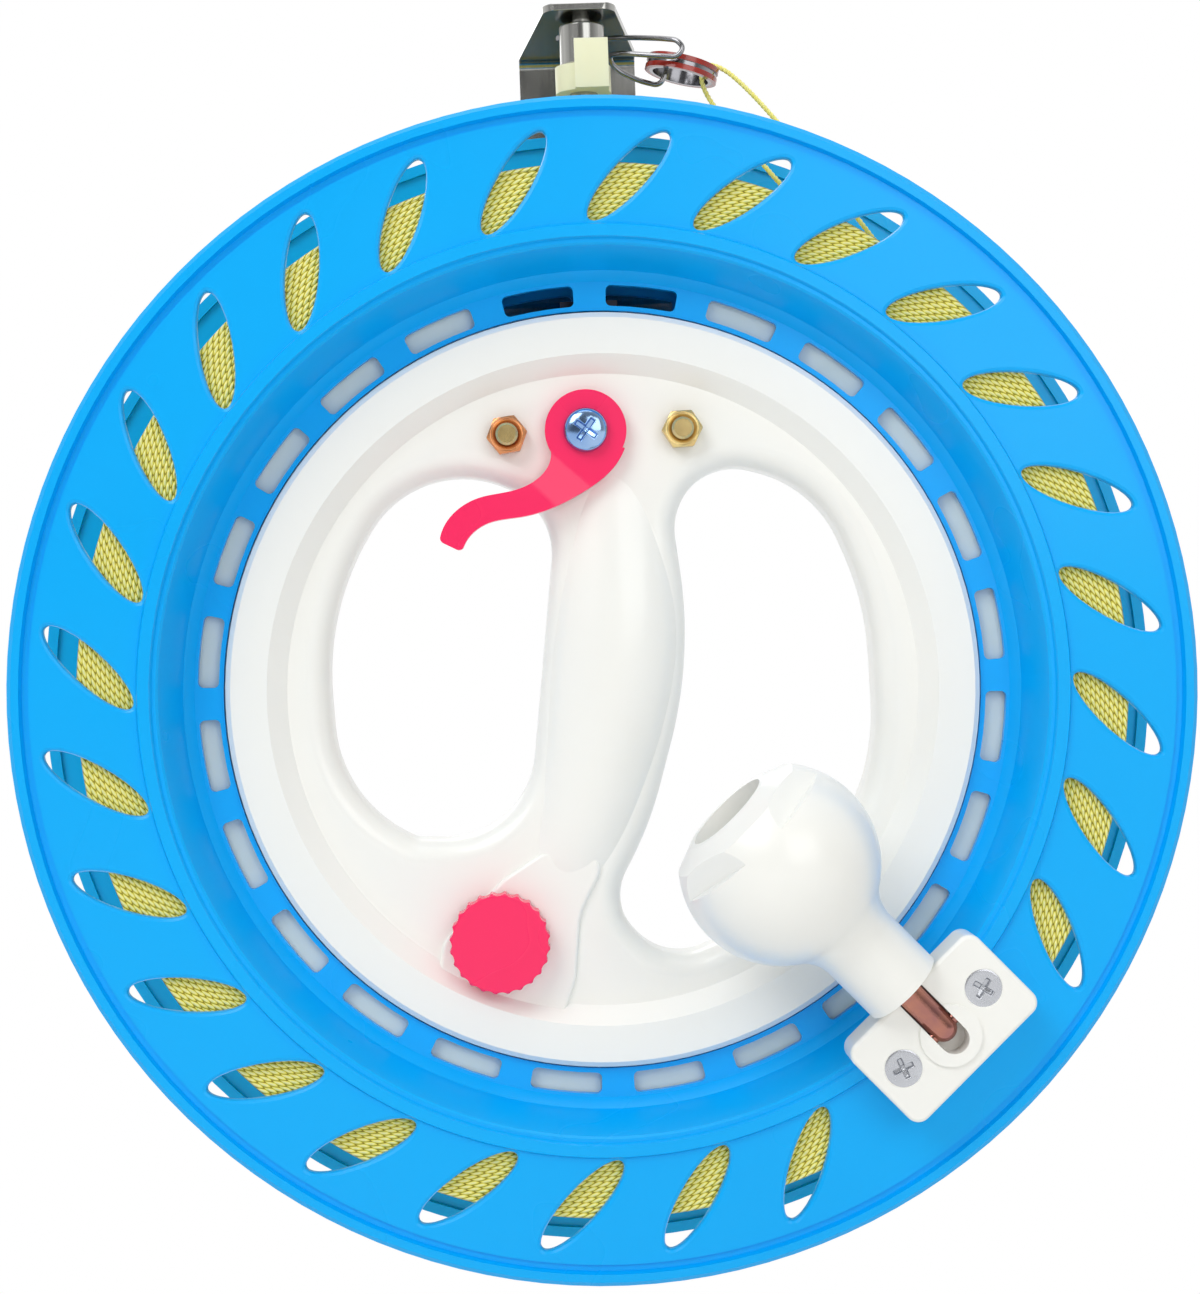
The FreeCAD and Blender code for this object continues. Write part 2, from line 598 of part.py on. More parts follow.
def grip_hump(crest):
    """The raised back of the grip: a loft of half-oval sections along its length."""
    sections = []
    for along, x, half_width, share in GRIP_STATIONS:
        z = GRIP_LOW_Z + along * (GRIP_HIGH_Z - GRIP_LOW_Z)
        rise = GRIP_RISE_FROM + (crest - GRIP_RISE_FROM) * share - GRIP_ROOT_DEPTH
        oval = []
        for k in range(9):
            t = math.pi * k / 8
            oval.append(V(x - half_width * math.cos(t), -GRIP_ROOT_DEPTH - rise * math.sin(t), z))
        curve = Part.BSplineCurve()
        curve.interpolate(oval)
        sections.append(Part.Wire([curve.toShape(), Part.LineSegment(oval[-1], oval[0]).toShape()]))
    return Part.makeLoft(sections, True, False)


def polar(radius, angle):
    """The (x, z) of a point given by its radius and its angle in degrees."""
    return radius * math.cos(math.radians(angle)), radius * math.sin(math.radians(angle))


def brake_frame(shape):
    """Place a shape made along +X at the brake's angle."""
    return spun(shape, BRAKE_ANGLE)


def cavity_block():
    """The hollow of one hub shell, kept clear of its outer wall and of the openings' walls."""
    hollow = rod(HUB_SPIGOT_R - HUB_WALL, 0, 0, -1.0, HUB_DISH_DEPTH - HUB_WALL)
    return hollow.cut(Part.makeCompound(opening_blocks(OPENING_WALL)))


def brake_pad():
    """The low pad under the brake knob: the grip's foot, flaring out to the hub's raised ring."""
    corners = [(BRAKE_X + x, BRAKE_Z + z, corner) for x, z, corner in BRAKE_PAD]
    pad = prism(rounded_wire(corners, BRAKE_PAD_ROOT), BRAKE_PAD_DEPTH - BRAKE_PAD_ROOT)
    rim = edges_where(pad, lambda p: abs(p.y + BRAKE_PAD_DEPTH) < 1e-6)
    pad = pad.makeFillet(BRAKE_PAD_EDGE, rim)
    return pad.common(rod(HUB_RING_IN_R, 0, 0, 0, HUB_RING_DEPTH))


def shell_blank(crest, pad=None):
    """A front shell without holes: disc, openings, rounded edges, grip, hollow and bosses."""
    shell = hub_disc().cut(Part.makeCompound(opening_blocks()))
    rim = edges_where(shell, lambda p: abs(p.y + HUB_DISH_DEPTH) < 1e-4
                      and math.hypot(p.x, p.z) < HUB_DISH_R - 1)
    shell = shell.makeFillet(OPENING_EDGE_R, rim)
    shell = shell.fuse(grip_hump(crest))
    if pad is not None:
        shell = shell.fuse(pad)
    shell = shell.cut(cavity_block())
    roof = HUB_DISH_DEPTH - HUB_WALL
    posts = [rod(HUB_BOSS_R, *polar(HUB_SCREW_R, a), 0, roof) for a in HUB_SCREW_ANGLES]
    posts += [rod(BOLT_R + HUB_WALL, side * BOLT_X, BOLT_Z, 0, roof) for side in (-1, 1)]
    shell = shell.fuse(posts)
    return shell.cut(Part.makeCompound([rod(BOLT_R, side * BOLT_X, BOLT_Z, -1, HUB_RING_DEPTH)
                                        for side in (-1, 1)]))


def guide_block(width, near, far):
    """A block in the hollow, along +X at angle zero, that guides a sliding part."""
    roof = HUB_DISH_DEPTH - HUB_WALL
    return Part.makeBox(far - near, roof, width, V(near, -roof, -width / 2))


def slide_slot(half_width, near, far, front, rear):
    """The room that a sliding part needs, along +X at angle zero."""
    return Part.makeBox(far - near, front - rear, 2 * half_width, V(near, -front, -half_width))


def pawl_guides():
    """Blocks on both sides of the pawl, and the slot through the hub's edge for it."""
    block = guide_block(PAWL_W + 5.0, PIVOT_Z + CAM_R + 1.5, HUB_SPIGOT_R - 1.0)
    slot = slide_slot(PAWL_W / 2 + SIDE_GAP, PIVOT_Z + CAM_R, HUB_R,
                      PAWL_FRONT + SIDE_GAP, -PAWL_REAR - SIDE_GAP)
    return spun(block, 90.0), spun(slot, 90.0)


def shoe_guides():
    """Blocks on both sides of the brake shoe, and the slot through the hub's edge for it."""
    near = BRAKE_R + BRAKE_CAM_R + BRAKE_CAM_RISE + SHARP
    block = guide_block(BRAKE_SHOE_W + 5.0, near + 1.0, HUB_SPIGOT_R - 1.0)
    slot = slide_slot(BRAKE_SHOE_W / 2 + SIDE_GAP, near - 1.0, HUB_R,
                      BRAKE_SHOE_HALF_T + SIDE_GAP, -BRAKE_SHOE_HALF_T - SIDE_GAP)
    return brake_frame(block), brake_frame(slot)


def with_guides(shell):
    """Add the guides of the pawl and of the brake shoe to one shell."""
    pawl_block, pawl_slot = pawl_guides()
    shoe_block, shoe_slot = shoe_guides()
    front = shell.BoundBox.Center.y < 0
    blocks = [pawl_block, shoe_block] if front else [mirrored(pawl_block), mirrored(shoe_block)]
    return shell.fuse(blocks).cut(Part.makeCompound([pawl_slot, shoe_slot]))


def hub_front_shell():
    """The shell with the lever, the brake knob and the nuts on it."""
    shell = with_guides(shell_blank(GRIP_FRONT, brake_pad()))
    roof = HUB_DISH_DEPTH - HUB_WALL
    shell = shell.fuse(rod(LEVER_SHAFT_R + HUB_WALL, PIVOT_X, PIVOT_Z, CAM_FRONT + LOOSE, roof))
    shell = shell.fuse(rod(BRAKE_SHAFT_R + HUB_WALL, BRAKE_X, BRAKE_Z, BRAKE_SHOE_HALF_T + LOOSE, roof))
    holes = [rod(HUB_SCREW_SHANK / 2, *polar(HUB_SCREW_R, a), -1, roof - 0.5) for a in HUB_SCREW_ANGLES]
    holes.append(rod(LEVER_SHAFT_R + RUN, PIVOT_X, PIVOT_Z, 0, HUB_RING_DEPTH))
    holes.append(rod(BRAKE_SHAFT_R + RUN, BRAKE_X, BRAKE_Z, 0, HUB_RING_DEPTH))
    return shell.cut(Part.makeCompound(holes))


def hub_rear_shell():
    """The shell with the screw heads, the bearings of both shafts and the bracket's seat."""
    shell = with_guides(mirrored(shell_blank(GRIP_BACK)))
    roof = HUB_DISH_DEPTH - HUB_WALL
    shell = shell.fuse(rod(BRAKE_PIVOT_BOSS_R + HUB_WALL, BRAKE_X, BRAKE_Z,
                           -BRAKE_SHOE_HALF_T - LOOSE, -roof))
    shell = shell.fuse(rod(LEVER_SHAFT_R + HUB_WALL, PIVOT_X, PIVOT_Z, -PAWL_REAR - SIDE_GAP, -roof))
    holes = []
    for angle in HUB_SCREW_ANGLES:
        x, z = polar(HUB_SCREW_R, angle)
        holes.append(rod(HUB_SCREW_SHANK / 2, x, z, 1, -roof))
        holes.append(rod(HUB_SCREW_HEAD_D / 2 + SIDE_GAP, x, z, -roof, -HUB_RING_DEPTH))
    holes.append(rod(BRAKE_PIVOT_R + RUN, BRAKE_X, BRAKE_Z, 0, -roof + 0.5))
    return shell.cut(Part.makeCompound(holes))


def hub_screws():
    """Six self-tapping screws from the rear that close the hub on the nylon ring."""
    roof = HUB_DISH_DEPTH - HUB_WALL
    screws = []
    for angle in HUB_SCREW_ANGLES:
        x, z = polar(HUB_SCREW_R, angle)
        shank = rod(HUB_SCREW_SHANK / 2, x, z, -roof, roof - 0.5)
        screws.append(shank.fuse(rod(HUB_SCREW_HEAD_D / 2, x, z, -roof - HUB_SCREW_HEAD_T, -roof)))
    return Part.makeCompound(screws)


def bearing_ring():
    """The split nylon ring that the wheel turns on, clamped between the two shells."""
    out = CHANNEL_R - BEARING_RUN
    relief = out - RING_RELIEF_DEPTH
    ring = at_depth([(HUB_SPIGOT_R, -RING_HALF_WIDTH), (HUB_SPIGOT_R, RING_HALF_WIDTH),
                     (out, RING_HALF_WIDTH), (out, RING_RELIEF_HALF_WIDTH),
                     (relief, RING_RELIEF_HALF_WIDTH), (relief, -RING_RELIEF_HALF_WIDTH),
                     (out, -RING_RELIEF_HALF_WIDTH), (out, -RING_HALF_WIDTH)])
    ends = [V(0, -2 * RING_HALF_WIDTH, 0)]
    for side in (-1, 1):
        x, z = polar(1.2 * CHANNEL_R, 90 + side * RING_GAP_HALF_ANGLE)
        ends.append(V(x, -2 * RING_HALF_WIDTH, z))
    gap = Part.Face(Part.makePolygon(ends + ends[:1])).extrude(V(0, 4 * RING_HALF_WIDTH, 0))
    shoe = brake_frame(slide_slot(BRAKE_SHOE_W / 2 + SIDE_GAP, HUB_DISH_R, CHANNEL_R + 1,
                                  BRAKE_SHOE_HALF_T + SIDE_GAP, -BRAKE_SHOE_HALF_T - SIDE_GAP))
    return ring.cut(Part.makeCompound([gap, shoe]))


# ==== stop lever ===========================================================================
def lever_arm_outline():
    """The lever's outline as seen from the front: the points of its two sides."""
    left, right = [], []
    count = len(LEVER_ARM)
    for k in range(count):
        x, z, width = LEVER_ARM[k]
        ahead = LEVER_ARM[min(k + 1, count - 1)]
        behind = LEVER_ARM[max(k - 1, 0)]
        run = V(ahead[0] - behind[0], 0, ahead[1] - behind[1])
        run.normalize()
        across = V(run.z, 0, -run.x) * (width / 2)
        left.append(V(PIVOT_X + x, 0, PIVOT_Z + z) - across)
        right.append(V(PIVOT_X + x, 0, PIVOT_Z + z) + across)
    return left, right


def lever_sheet():
    """The lever's bent plate before it is cut to its outline: flat, a slope, and flat again."""
    near = HUB_DISH_DEPTH + LEVER_LIFT
    far = near + LEVER_STEP
    reach = max(math.hypot(x, z) for x, z, width in LEVER_ARM) + LEVER_EYE_R
    rear_side = [(-reach, near, BURR), (LEVER_BENDS[0], near, LEVER_BEND_R),
                 (LEVER_BENDS[1], far, LEVER_BEND_R), (reach, far, BURR)]
    front_side = [(s, depth + LEVER_T, r) for s, depth, r in rear_side[::-1]]
    sheet = prism(rounded_wire(rear_side + front_side, reach), -2 * reach)
    sheet.rotate(ORIGIN, V(1, 0, 0), 90)
    sheet = spun(sheet, LEVER_BEND_ANGLE)
    sheet.translate(V(PIVOT_X, 0, PIVOT_Z))
    return sheet


def stop_lever():
    """The lever: a round eye on the shaft and an arm that curves down to its finger tip."""
    left, right = lever_arm_outline()
    upper, lower = Part.BSplineCurve(), Part.BSplineCurve()
    upper.interpolate(left)
    lower.interpolate(right)
    wire = Part.Wire([upper.toShape(), Part.LineSegment(left[-1], right[-1]).toShape(),
                      lower.toShape(), Part.LineSegment(right[0], left[0]).toShape()])
    arm = prism(wire, HUB_RING_DEPTH + LEVER_T + LEVER_STEP)
    tip = (left[-1] + right[-1]) / 2
    near_tip = edges_where(arm, lambda p: math.hypot(p.x - tip.x, p.z - tip.z) < LEVER_ARM[-1][2])
    arm = arm.makeFillet(LEVER_TIP_R, [e for e in near_tip if e.BoundBox.YLength > LEVER_T])
    eye = rod(LEVER_EYE_R, PIVOT_X, PIVOT_Z, 0, HUB_RING_DEPTH + LEVER_T + LEVER_STEP)
    lever = arm.fuse(eye).removeSplitter().common(lever_sheet())
    return lever.cut(rod(LEVER_SCREW_R, PIVOT_X, PIVOT_Z, 0, HUB_RING_DEPTH + LEVER_T))


def lever_screw():
    """Pan-head screw that holds the lever on the cam's shaft."""
    top = HUB_DISH_DEPTH + LEVER_LIFT + LEVER_T
    shank = rod(LEVER_SCREW_R, PIVOT_X, PIVOT_Z, top - LEVER_SCREW_BITE, top)
    head = rod(LEVER_SCREW_HEAD_R, PIVOT_X, PIVOT_Z, top, top + LEVER_SCREW_HEAD_T)
    rim = edges_where(head, lambda p: abs(p.y + top + LEVER_SCREW_HEAD_T) < 1e-6)
    return head.makeFillet(LEVER_SCREW_HEAD_T - 1.0, rim).fuse(shank)


def cam_pin_place():
    """Where the cam's drive pin stands at rest: half the swing below its level place."""
    x, z = polar(CAM_PIN_AT, 180.0 + LEVER_SWING / 2)
    return PIVOT_X + x, PIVOT_Z + z


def lever_cam():
    """The disc on the lever's shaft, with the pin that drives the pawl."""
    disc = rod(CAM_R, PIVOT_X, PIVOT_Z, CAM_REAR, CAM_FRONT)
    shaft = rod(LEVER_SHAFT_R, PIVOT_X, PIVOT_Z, CAM_REAR, HUB_DISH_DEPTH + LEVER_LIFT)
    pin = rod(CAM_PIN_R, *cam_pin_place(), -PAWL_REAR, CAM_REAR)
    top = HUB_DISH_DEPTH + LEVER_LIFT + LEVER_T
    return disc.fuse([shaft, pin]).cut(rod(LEVER_SCREW_R, PIVOT_X, PIVOT_Z,
                                           top - LEVER_SCREW_BITE, top))


def stop_pawl():
    """The flat bolt that slides out of the hub's edge into a notch of the wheel."""
    tip = CHANNEL_R - PAWL_TIP_GAP
    shoulder = tip - NOTCH_DEPTH - SHARP
    half, tooth = PAWL_W / 2, PAWL_TOOTH_W / 2
    pin_x, pin_z = cam_pin_place()
    ear = pin_x - 3.2
    foot = PIVOT_Z - PAWL_FOOT_DROP
    outline = [(ear, foot), (half, foot), (half, shoulder), (tooth, shoulder),
               (tooth, tip - SHARP), (tooth - SHARP, tip), (SHARP - tooth, tip),
               (-tooth, tip - SHARP), (-tooth, shoulder), (-half, shoulder),
               (-half, PIVOT_Z + 4.5), (ear, PIVOT_Z + 2.5)]
    points = [V(x, PAWL_REAR, z) for x, z in outline]
    plate = prism(Part.makePolygon(points + points[:1]), PAWL_FRONT + PAWL_REAR)
    room = CAM_PIN_AT * (1 - math.cos(math.radians(LEVER_SWING / 2))) + 2 * SIDE_GAP
    slot_r = CAM_PIN_R + RUN
    slot = Part.makeBox(room, PAWL_FRONT + PAWL_REAR, 2 * slot_r,
                        V(pin_x - room, -PAWL_FRONT, pin_z - slot_r))
    ends = [rod(slot_r, pin_x + d, pin_z, -PAWL_REAR, PAWL_FRONT) for d in (-room, 0)]
    return plate.cut(slot.fuse(ends))


# ==== brake ================================================================================
def brake_knob():
    """The fluted knob, its flutes cut all round."""
    low = BRAKE_PAD_DEPTH + LOOSE
    top = low + BRAKE_KNOB_T
    knob = rod(BRAKE_KNOB_R, BRAKE_X, BRAKE_Z, low, top)
    knob = knob.makeFillet(BRAKE_KNOB_EDGE, edges_where(knob, lambda p: abs(p.y + top) < 1e-6))
    flutes = []
    for k in range(BRAKE_FLUTES):
        x, z = polar(BRAKE_KNOB_R + BRAKE_FLUTE_R - BRAKE_FLUTE_DEPTH, 360.0 * k / BRAKE_FLUTES)
        flutes.append(rod(BRAKE_FLUTE_R, BRAKE_X + x, BRAKE_Z + z, low - 1, top + 1))
    bore = rod(BRAKE_SHAFT_R, BRAKE_X, BRAKE_Z, low - 1, top - HUB_WALL)
    return knob.cut(Part.makeCompound(flutes + [bore]))


def brake_cam():
    """The knob's shaft, with a spiral cam that rises evenly over the knob's turn."""
    points = []
    span = BRAKE_CAM_TURN + 2 * BRAKE_CAM_LEAD
    for k in range(BRAKE_CAM_STEPS + 1):
        turn = span * k / BRAKE_CAM_STEPS - BRAKE_CAM_LEAD
        x, z = polar(BRAKE_CAM_R + BRAKE_CAM_RISE * turn / BRAKE_CAM_TURN, BRAKE_ANGLE + turn)
        points.append(V(BRAKE_X + x, BRAKE_CAM_HALF_T, BRAKE_Z + z))
    spiral = Part.BSplineCurve()
    spiral.interpolate(points)
    wire = Part.Wire([spiral.toShape(), Part.LineSegment(points[-1], points[0]).toShape()])
    cam = prism(wire, 2 * BRAKE_CAM_HALF_T)
    top = BRAKE_PAD_DEPTH + LOOSE + BRAKE_KNOB_T - HUB_WALL
    shaft = rod(BRAKE_SHAFT_R, BRAKE_X, BRAKE_Z, 0, top)
    pivot = rod(BRAKE_PIVOT_R, BRAKE_X, BRAKE_Z, -(HUB_DISH_DEPTH - HUB_WALL) + 1.0, 0)
    return cam.fuse([shaft, pivot])


def brake_shoe():
    """The shoe that the cam pushes out against the wheel's running wall."""
    near = BRAKE_R + BRAKE_CAM_R + RUN
    block = Part.makeBox(CHANNEL_R - near, 2 * BRAKE_SHOE_HALF_T, BRAKE_SHOE_W,
                         V(near, -BRAKE_SHOE_HALF_T, -BRAKE_SHOE_W / 2))
    face = rod(CHANNEL_R - BRAKE_SHOE_GAP, 0, 0, -BRAKE_SHOE_HALF_T, BRAKE_SHOE_HALF_T)
    return brake_frame(block.common(face))


# ==== crank ================================================================================
def crank_base():
    """The block screwed to the flange, slotted so that the shaft can lie down."""
    low = WHEEL_HALF_WIDTH - BEAD_RISE
    top = low + CRANK_BASE_T
    half_w, half_l = CRANK_BASE_W / 2, CRANK_BASE_LENGTH / 2
    corners = [(CRANK_BASE_R + sx * half_w, sz * half_l, CRANK_BASE_CORNER)
               for sx, sz in ((-1, -1), (1, -1), (1, 1), (-1, 1))]
    base = prism(rounded_wire(corners, low), CRANK_BASE_T)
    rim = edges_where(base, lambda p: abs(p.y + top) < 1e-6)
    base = base.makeFillet(CRANK_BASE_EDGE, rim)
    base = base.fuse(rod(CRANK_BOSS_R, CRANK_PIVOT_R + CRANK_BOSS_AT, 0, low + 1, top + CRANK_BOSS_RISE))
    width = 2 * (CRANK_SHAFT_R + SIDE_GAP)
    floor = CRANK_PIVOT_DEPTH - CRANK_SHAFT_R - LOOSE
    end = CRANK_PIVOT_R + CRANK_SLOT_RUN_OUT
    slot = Part.makeBox(CRANK_BASE_W, 2 * CRANK_BASE_T, width,
                        V(end - CRANK_BASE_W, -floor - 2 * CRANK_BASE_T, -width / 2))
    slot = slot.fuse(rod(width / 2, end, 0, floor, floor + 2 * CRANK_BASE_T))
    ledge = at_depth([(INNER_BEAD_OUT_R - INNER_BEAD_W, 0), (INNER_BEAD_OUT_R, 0),
                      (INNER_BEAD_OUT_R, low + BEAD_RISE),
                      (INNER_BEAD_OUT_R - INNER_BEAD_W, low + BEAD_RISE)])
    cutters = [slot, ledge]
    cutters.append(Part.makeCylinder(CRANK_PIN_R, 2 * CRANK_PIN_HALF_LENGTH,
                                     V(CRANK_PIVOT_R, -CRANK_PIVOT_DEPTH, -CRANK_PIN_HALF_LENGTH), UP))
    for x, z in crank_screw_places():
        cutters.append(rod(CRANK_SCREW_SHANK_R, x, z, low - 1, top))
        cutters.append(screw_cone(x, z, top))
    return crank_frame(base.cut(Part.makeCompound(cutters)))


def screw_cone(x, z, top):
    """The countersunk head of one crank base screw."""
    return Part.makeCone(CRANK_SCREW_SHANK_R, CRANK_SCREW_HEAD_R, CRANK_SCREW_HEAD_T,
                         V(x, -top + CRANK_SCREW_HEAD_T, z), V(0, -1, 0))


def crank_base_screws():
    """Two countersunk screws through the block into the wheel's bosses."""
    top = WHEEL_HALF_WIDTH - BEAD_RISE + CRANK_BASE_T
    screws = []
    for x, z in crank_screw_places():
        shank = rod(CRANK_SCREW_SHANK_R, x, z, top - CRANK_SCREW_LENGTH, top - SHARP)
        screws.append(crank_frame(shank.fuse(screw_cone(x, z, top))))
    return Part.makeCompound(screws)


def crank_pin():
    """The pin moulded into the block, which the shaft folds about."""
    pin = Part.makeCylinder(CRANK_PIN_R, 2 * CRANK_PIN_HALF_LENGTH,
                            V(CRANK_PIVOT_R, -CRANK_PIVOT_DEPTH, -CRANK_PIN_HALF_LENGTH), UP)
    return crank_frame(pin)


def crank_placed(shape):
    """Move a shape made along +X from the pivot to the folded crank's place."""
    copy = shape.copy()
    copy.rotate(ORIGIN, UP, 180.0 + CRANK_FOLD)
    copy.translate(V(CRANK_PIVOT_R, -CRANK_PIVOT_DEPTH, 0))
    return crank_frame(copy)


def along_crank(profile):
    """Revolve a closed list of (distance from the pivot, radius) points about the shaft."""
    points = [V(s, r, 0) for s, r in profile]
    return Part.Face(Part.makePolygon(points + points[:1])).revolve(ORIGIN, V(1, 0, 0), 360)


def crank_shaft():
    """The steel shaft, rounded round its pivot hole and drilled for the knob's screw."""
    end = KNOB_CAVITY_AT + LOOSE
    bar = Part.makeCylinder(CRANK_SHAFT_R, end, ORIGIN, V(1, 0, 0))
    bar = bar.fuse(Part.makeSphere(CRANK_SHAFT_R, ORIGIN))
    hole = Part.makeCylinder(CRANK_PIN_R + RUN, 4 * CRANK_SHAFT_R, V(0, 0, -2 * CRANK_SHAFT_R), UP)
    tap = Part.makeCylinder(KNOB_SCREW_R, KNOB_SCREW_BITE, V(end - KNOB_SCREW_BITE, 0, 0), V(1, 0, 0))
    return crank_placed(bar.cut(hole).cut(tap))


def knob_blank():
    """The knob's outer form: stem, hollow flare, ball and flattened nose."""
    flare = KNOB_FLARE_R
    centre_r = KNOB_STEM_R + flare
    reach = math.sqrt((KNOB_BALL_R + flare) ** 2 - centre_r ** 2)
    flare_at = KNOB_BALL_AT - reach
    share = flare / (KNOB_BALL_R + flare)
    join = V(flare_at + reach * share, centre_r * (1 - share), 0)
    mid_angle = math.atan2(join.y - centre_r, join.x - flare_at) / 2 - math.pi / 4
    flare_mid = V(flare_at + flare * math.cos(mid_angle), centre_r + flare * math.sin(mid_angle), 0)
    shoulder = V(KNOB_BALL_AT + KNOB_SHOULDER, math.sqrt(KNOB_BALL_R ** 2 - KNOB_SHOULDER ** 2), 0)
    p = [V(KNOB_START, 0, 0), V(KNOB_START, KNOB_STEM_R, 0), V(flare_at, KNOB_STEM_R, 0), join,
         shoulder, V(KNOB_MOUTH_AT, KNOB_NOSE_R, 0), V(KNOB_MOUTH_AT, 0, 0)]
    edges = [Part.LineSegment(p[0], p[1]), Part.LineSegment(p[1], p[2]), Part.Arc(p[2], flare_mid, join),
             Part.Arc(join, V(KNOB_BALL_AT, KNOB_BALL_R, 0), p[4]), Part.LineSegment(p[4], p[5]),
             Part.LineSegment(p[5], p[6]), Part.LineSegment(p[6], p[0])]
    wire = Part.Wire([e.toShape() for e in edges])
    return Part.Face(wire).revolve(ORIGIN, V(1, 0, 0), 360)


def crank_knob():
    """The hollow knob with four flat notches round its nose, each ended by a step."""
    knob = knob_blank()
    cavity = along_crank([(KNOB_CAVITY_AT, 0), (KNOB_CAVITY_AT, KNOB_MOUTH_R - 1.0),
                          (KNOB_MOUTH_AT + 1, KNOB_MOUTH_R), (KNOB_MOUTH_AT + 1, 0)])
    bore = Part.makeCylinder(CRANK_SHAFT_R + RUN, KNOB_CAVITY_AT, V(1, 0, 0), V(1, 0, 0))
    cutters = [cavity, bore]
    step = KNOB_BALL_AT + KNOB_NOTCH_AT
    for k in range(4):
        flat = [V(step, KNOB_NOTCH_DEEP_R, -KNOB_BALL_R), V(KNOB_MOUTH_AT, KNOB_NOTCH_MOUTH_R, -KNOB_BALL_R),
                V(KNOB_MOUTH_AT, 2 * KNOB_BALL_R, -KNOB_BALL_R), V(step, 2 * KNOB_BALL_R, -KNOB_BALL_R)]
        block = Part.Face(Part.makePolygon(flat + flat[:1])).extrude(V(0, 0, 2 * KNOB_BALL_R))
        block.rotate(ORIGIN, V(1, 0, 0), KNOB_NOTCH_START + 90.0 * k)
        cutters.append(block)
    return crank_placed(knob.cut(Part.makeCompound(cutters)))


def knob_washer():
    """The washer between the knob's floor and its screw."""
    low = KNOB_CAVITY_AT + LOOSE
    return crank_placed(along_crank([(low, KNOB_SCREW_R), (low, KNOB_WASHER_R),
                                     (low + KNOB_WASHER_T, KNOB_WASHER_R),
                                     (low + KNOB_WASHER_T, KNOB_SCREW_R)]))


def knob_screw():
    """The screw in the end of the shaft, which keeps the knob on."""
    low = KNOB_CAVITY_AT + LOOSE
    seat = low + KNOB_WASHER_T
    return crank_placed(along_crank([(low - KNOB_SCREW_BITE, 0), (low - KNOB_SCREW_BITE, KNOB_SCREW_R),
                                     (seat, KNOB_SCREW_R), (seat, KNOB_SCREW_HEAD_R),
                                     (seat + KNOB_SCREW_HEAD_T - 1, KNOB_SCREW_HEAD_R),
                                     (seat + KNOB_SCREW_HEAD_T, KNOB_SCREW_HEAD_R - 1.2),
                                     (seat + KNOB_SCREW_HEAD_T, 0)]))


# ==== line guide ===========================================================================
def sheet_side():
    """The bracket's side view (depth, z, side the fold turns to) along its front face."""
    nose_rise = (BRACKET_FRONT_DEPTH + BRACKET_BACK_DEPTH) * math.tan(math.radians(BRACKET_SLOPE))
    return [(-HUB_DISH_DEPTH, BRACKET_FOOT_LOW, 0), (-HUB_DISH_DEPTH, BRACKET_FOOT_HIGH, -1),
            (-BRACKET_BACK_DEPTH, BRACKET_JOG_HIGH, 1), (-BRACKET_BACK_DEPTH, BRACKET_FOLD_Z, 1),
            (BRACKET_FRONT_DEPTH, BRACKET_FOLD_Z + nose_rise, 0)]


def bent_sheet():
    """The sheet before it is cut to its outline: the side view and its offset, extruded."""
    side = sheet_side()
    front, back = [], []
    for k in range(len(side)):
        normals = []
        for a, b in ((k - 1, k), (k, k + 1)):
            if a >= 0 and b < len(side):
                run = V(side[b][0] - side[a][0], side[b][1] - side[a][1], 0)
                run.normalize()
                normals.append(V(-run.y, run.x, 0))
        mitre = normals[0] + normals[-1]
        mitre = mitre * (SHEET_T / (1 + normals[0].dot(normals[-1])))
        d, z, fold = side[k]
        radii = {0: (BURR, BURR), 1: (BEND_INNER_R, BEND_INNER_R + SHEET_T),
                 -1: (BEND_INNER_R + SHEET_T, BEND_INNER_R)}[fold]
        front.append((d, z, radii[0]))
        back.append((d + mitre.x, z + mitre.y, radii[1]))
    wire = rounded_wire(front + back[::-1], -BRACKET_FOOT_W / 2)
    sheet = prism(wire, BRACKET_FOOT_W)
    sheet.rotate(ORIGIN, UP, -90)
    return sheet


def line_guide_bracket():
    """Bent sheet: a foot under the bolts, a jog over the flange, and a shelf over the wheel."""
    bracket = bent_sheet().common(bracket_plan())
    holes = [rod(BOLT_R, side * BOLT_X, BOLT_Z, 0, -BRACKET_BACK_DEPTH) for side in (-1, 1)]
    holes.append(upright(GUIDE_AXLE_R, BRACKET_FOLD_Z, BRACKET_FOLD_Z + BRACKET_ROOM))
    return bracket.cut(Part.makeCompound(holes))


def both_sides(corners):
    """An outline's corners (x, z, radius), completed by their mirror images across x = 0."""
    return corners + [(-x, z, radius) for x, z, radius in corners[::-1]]


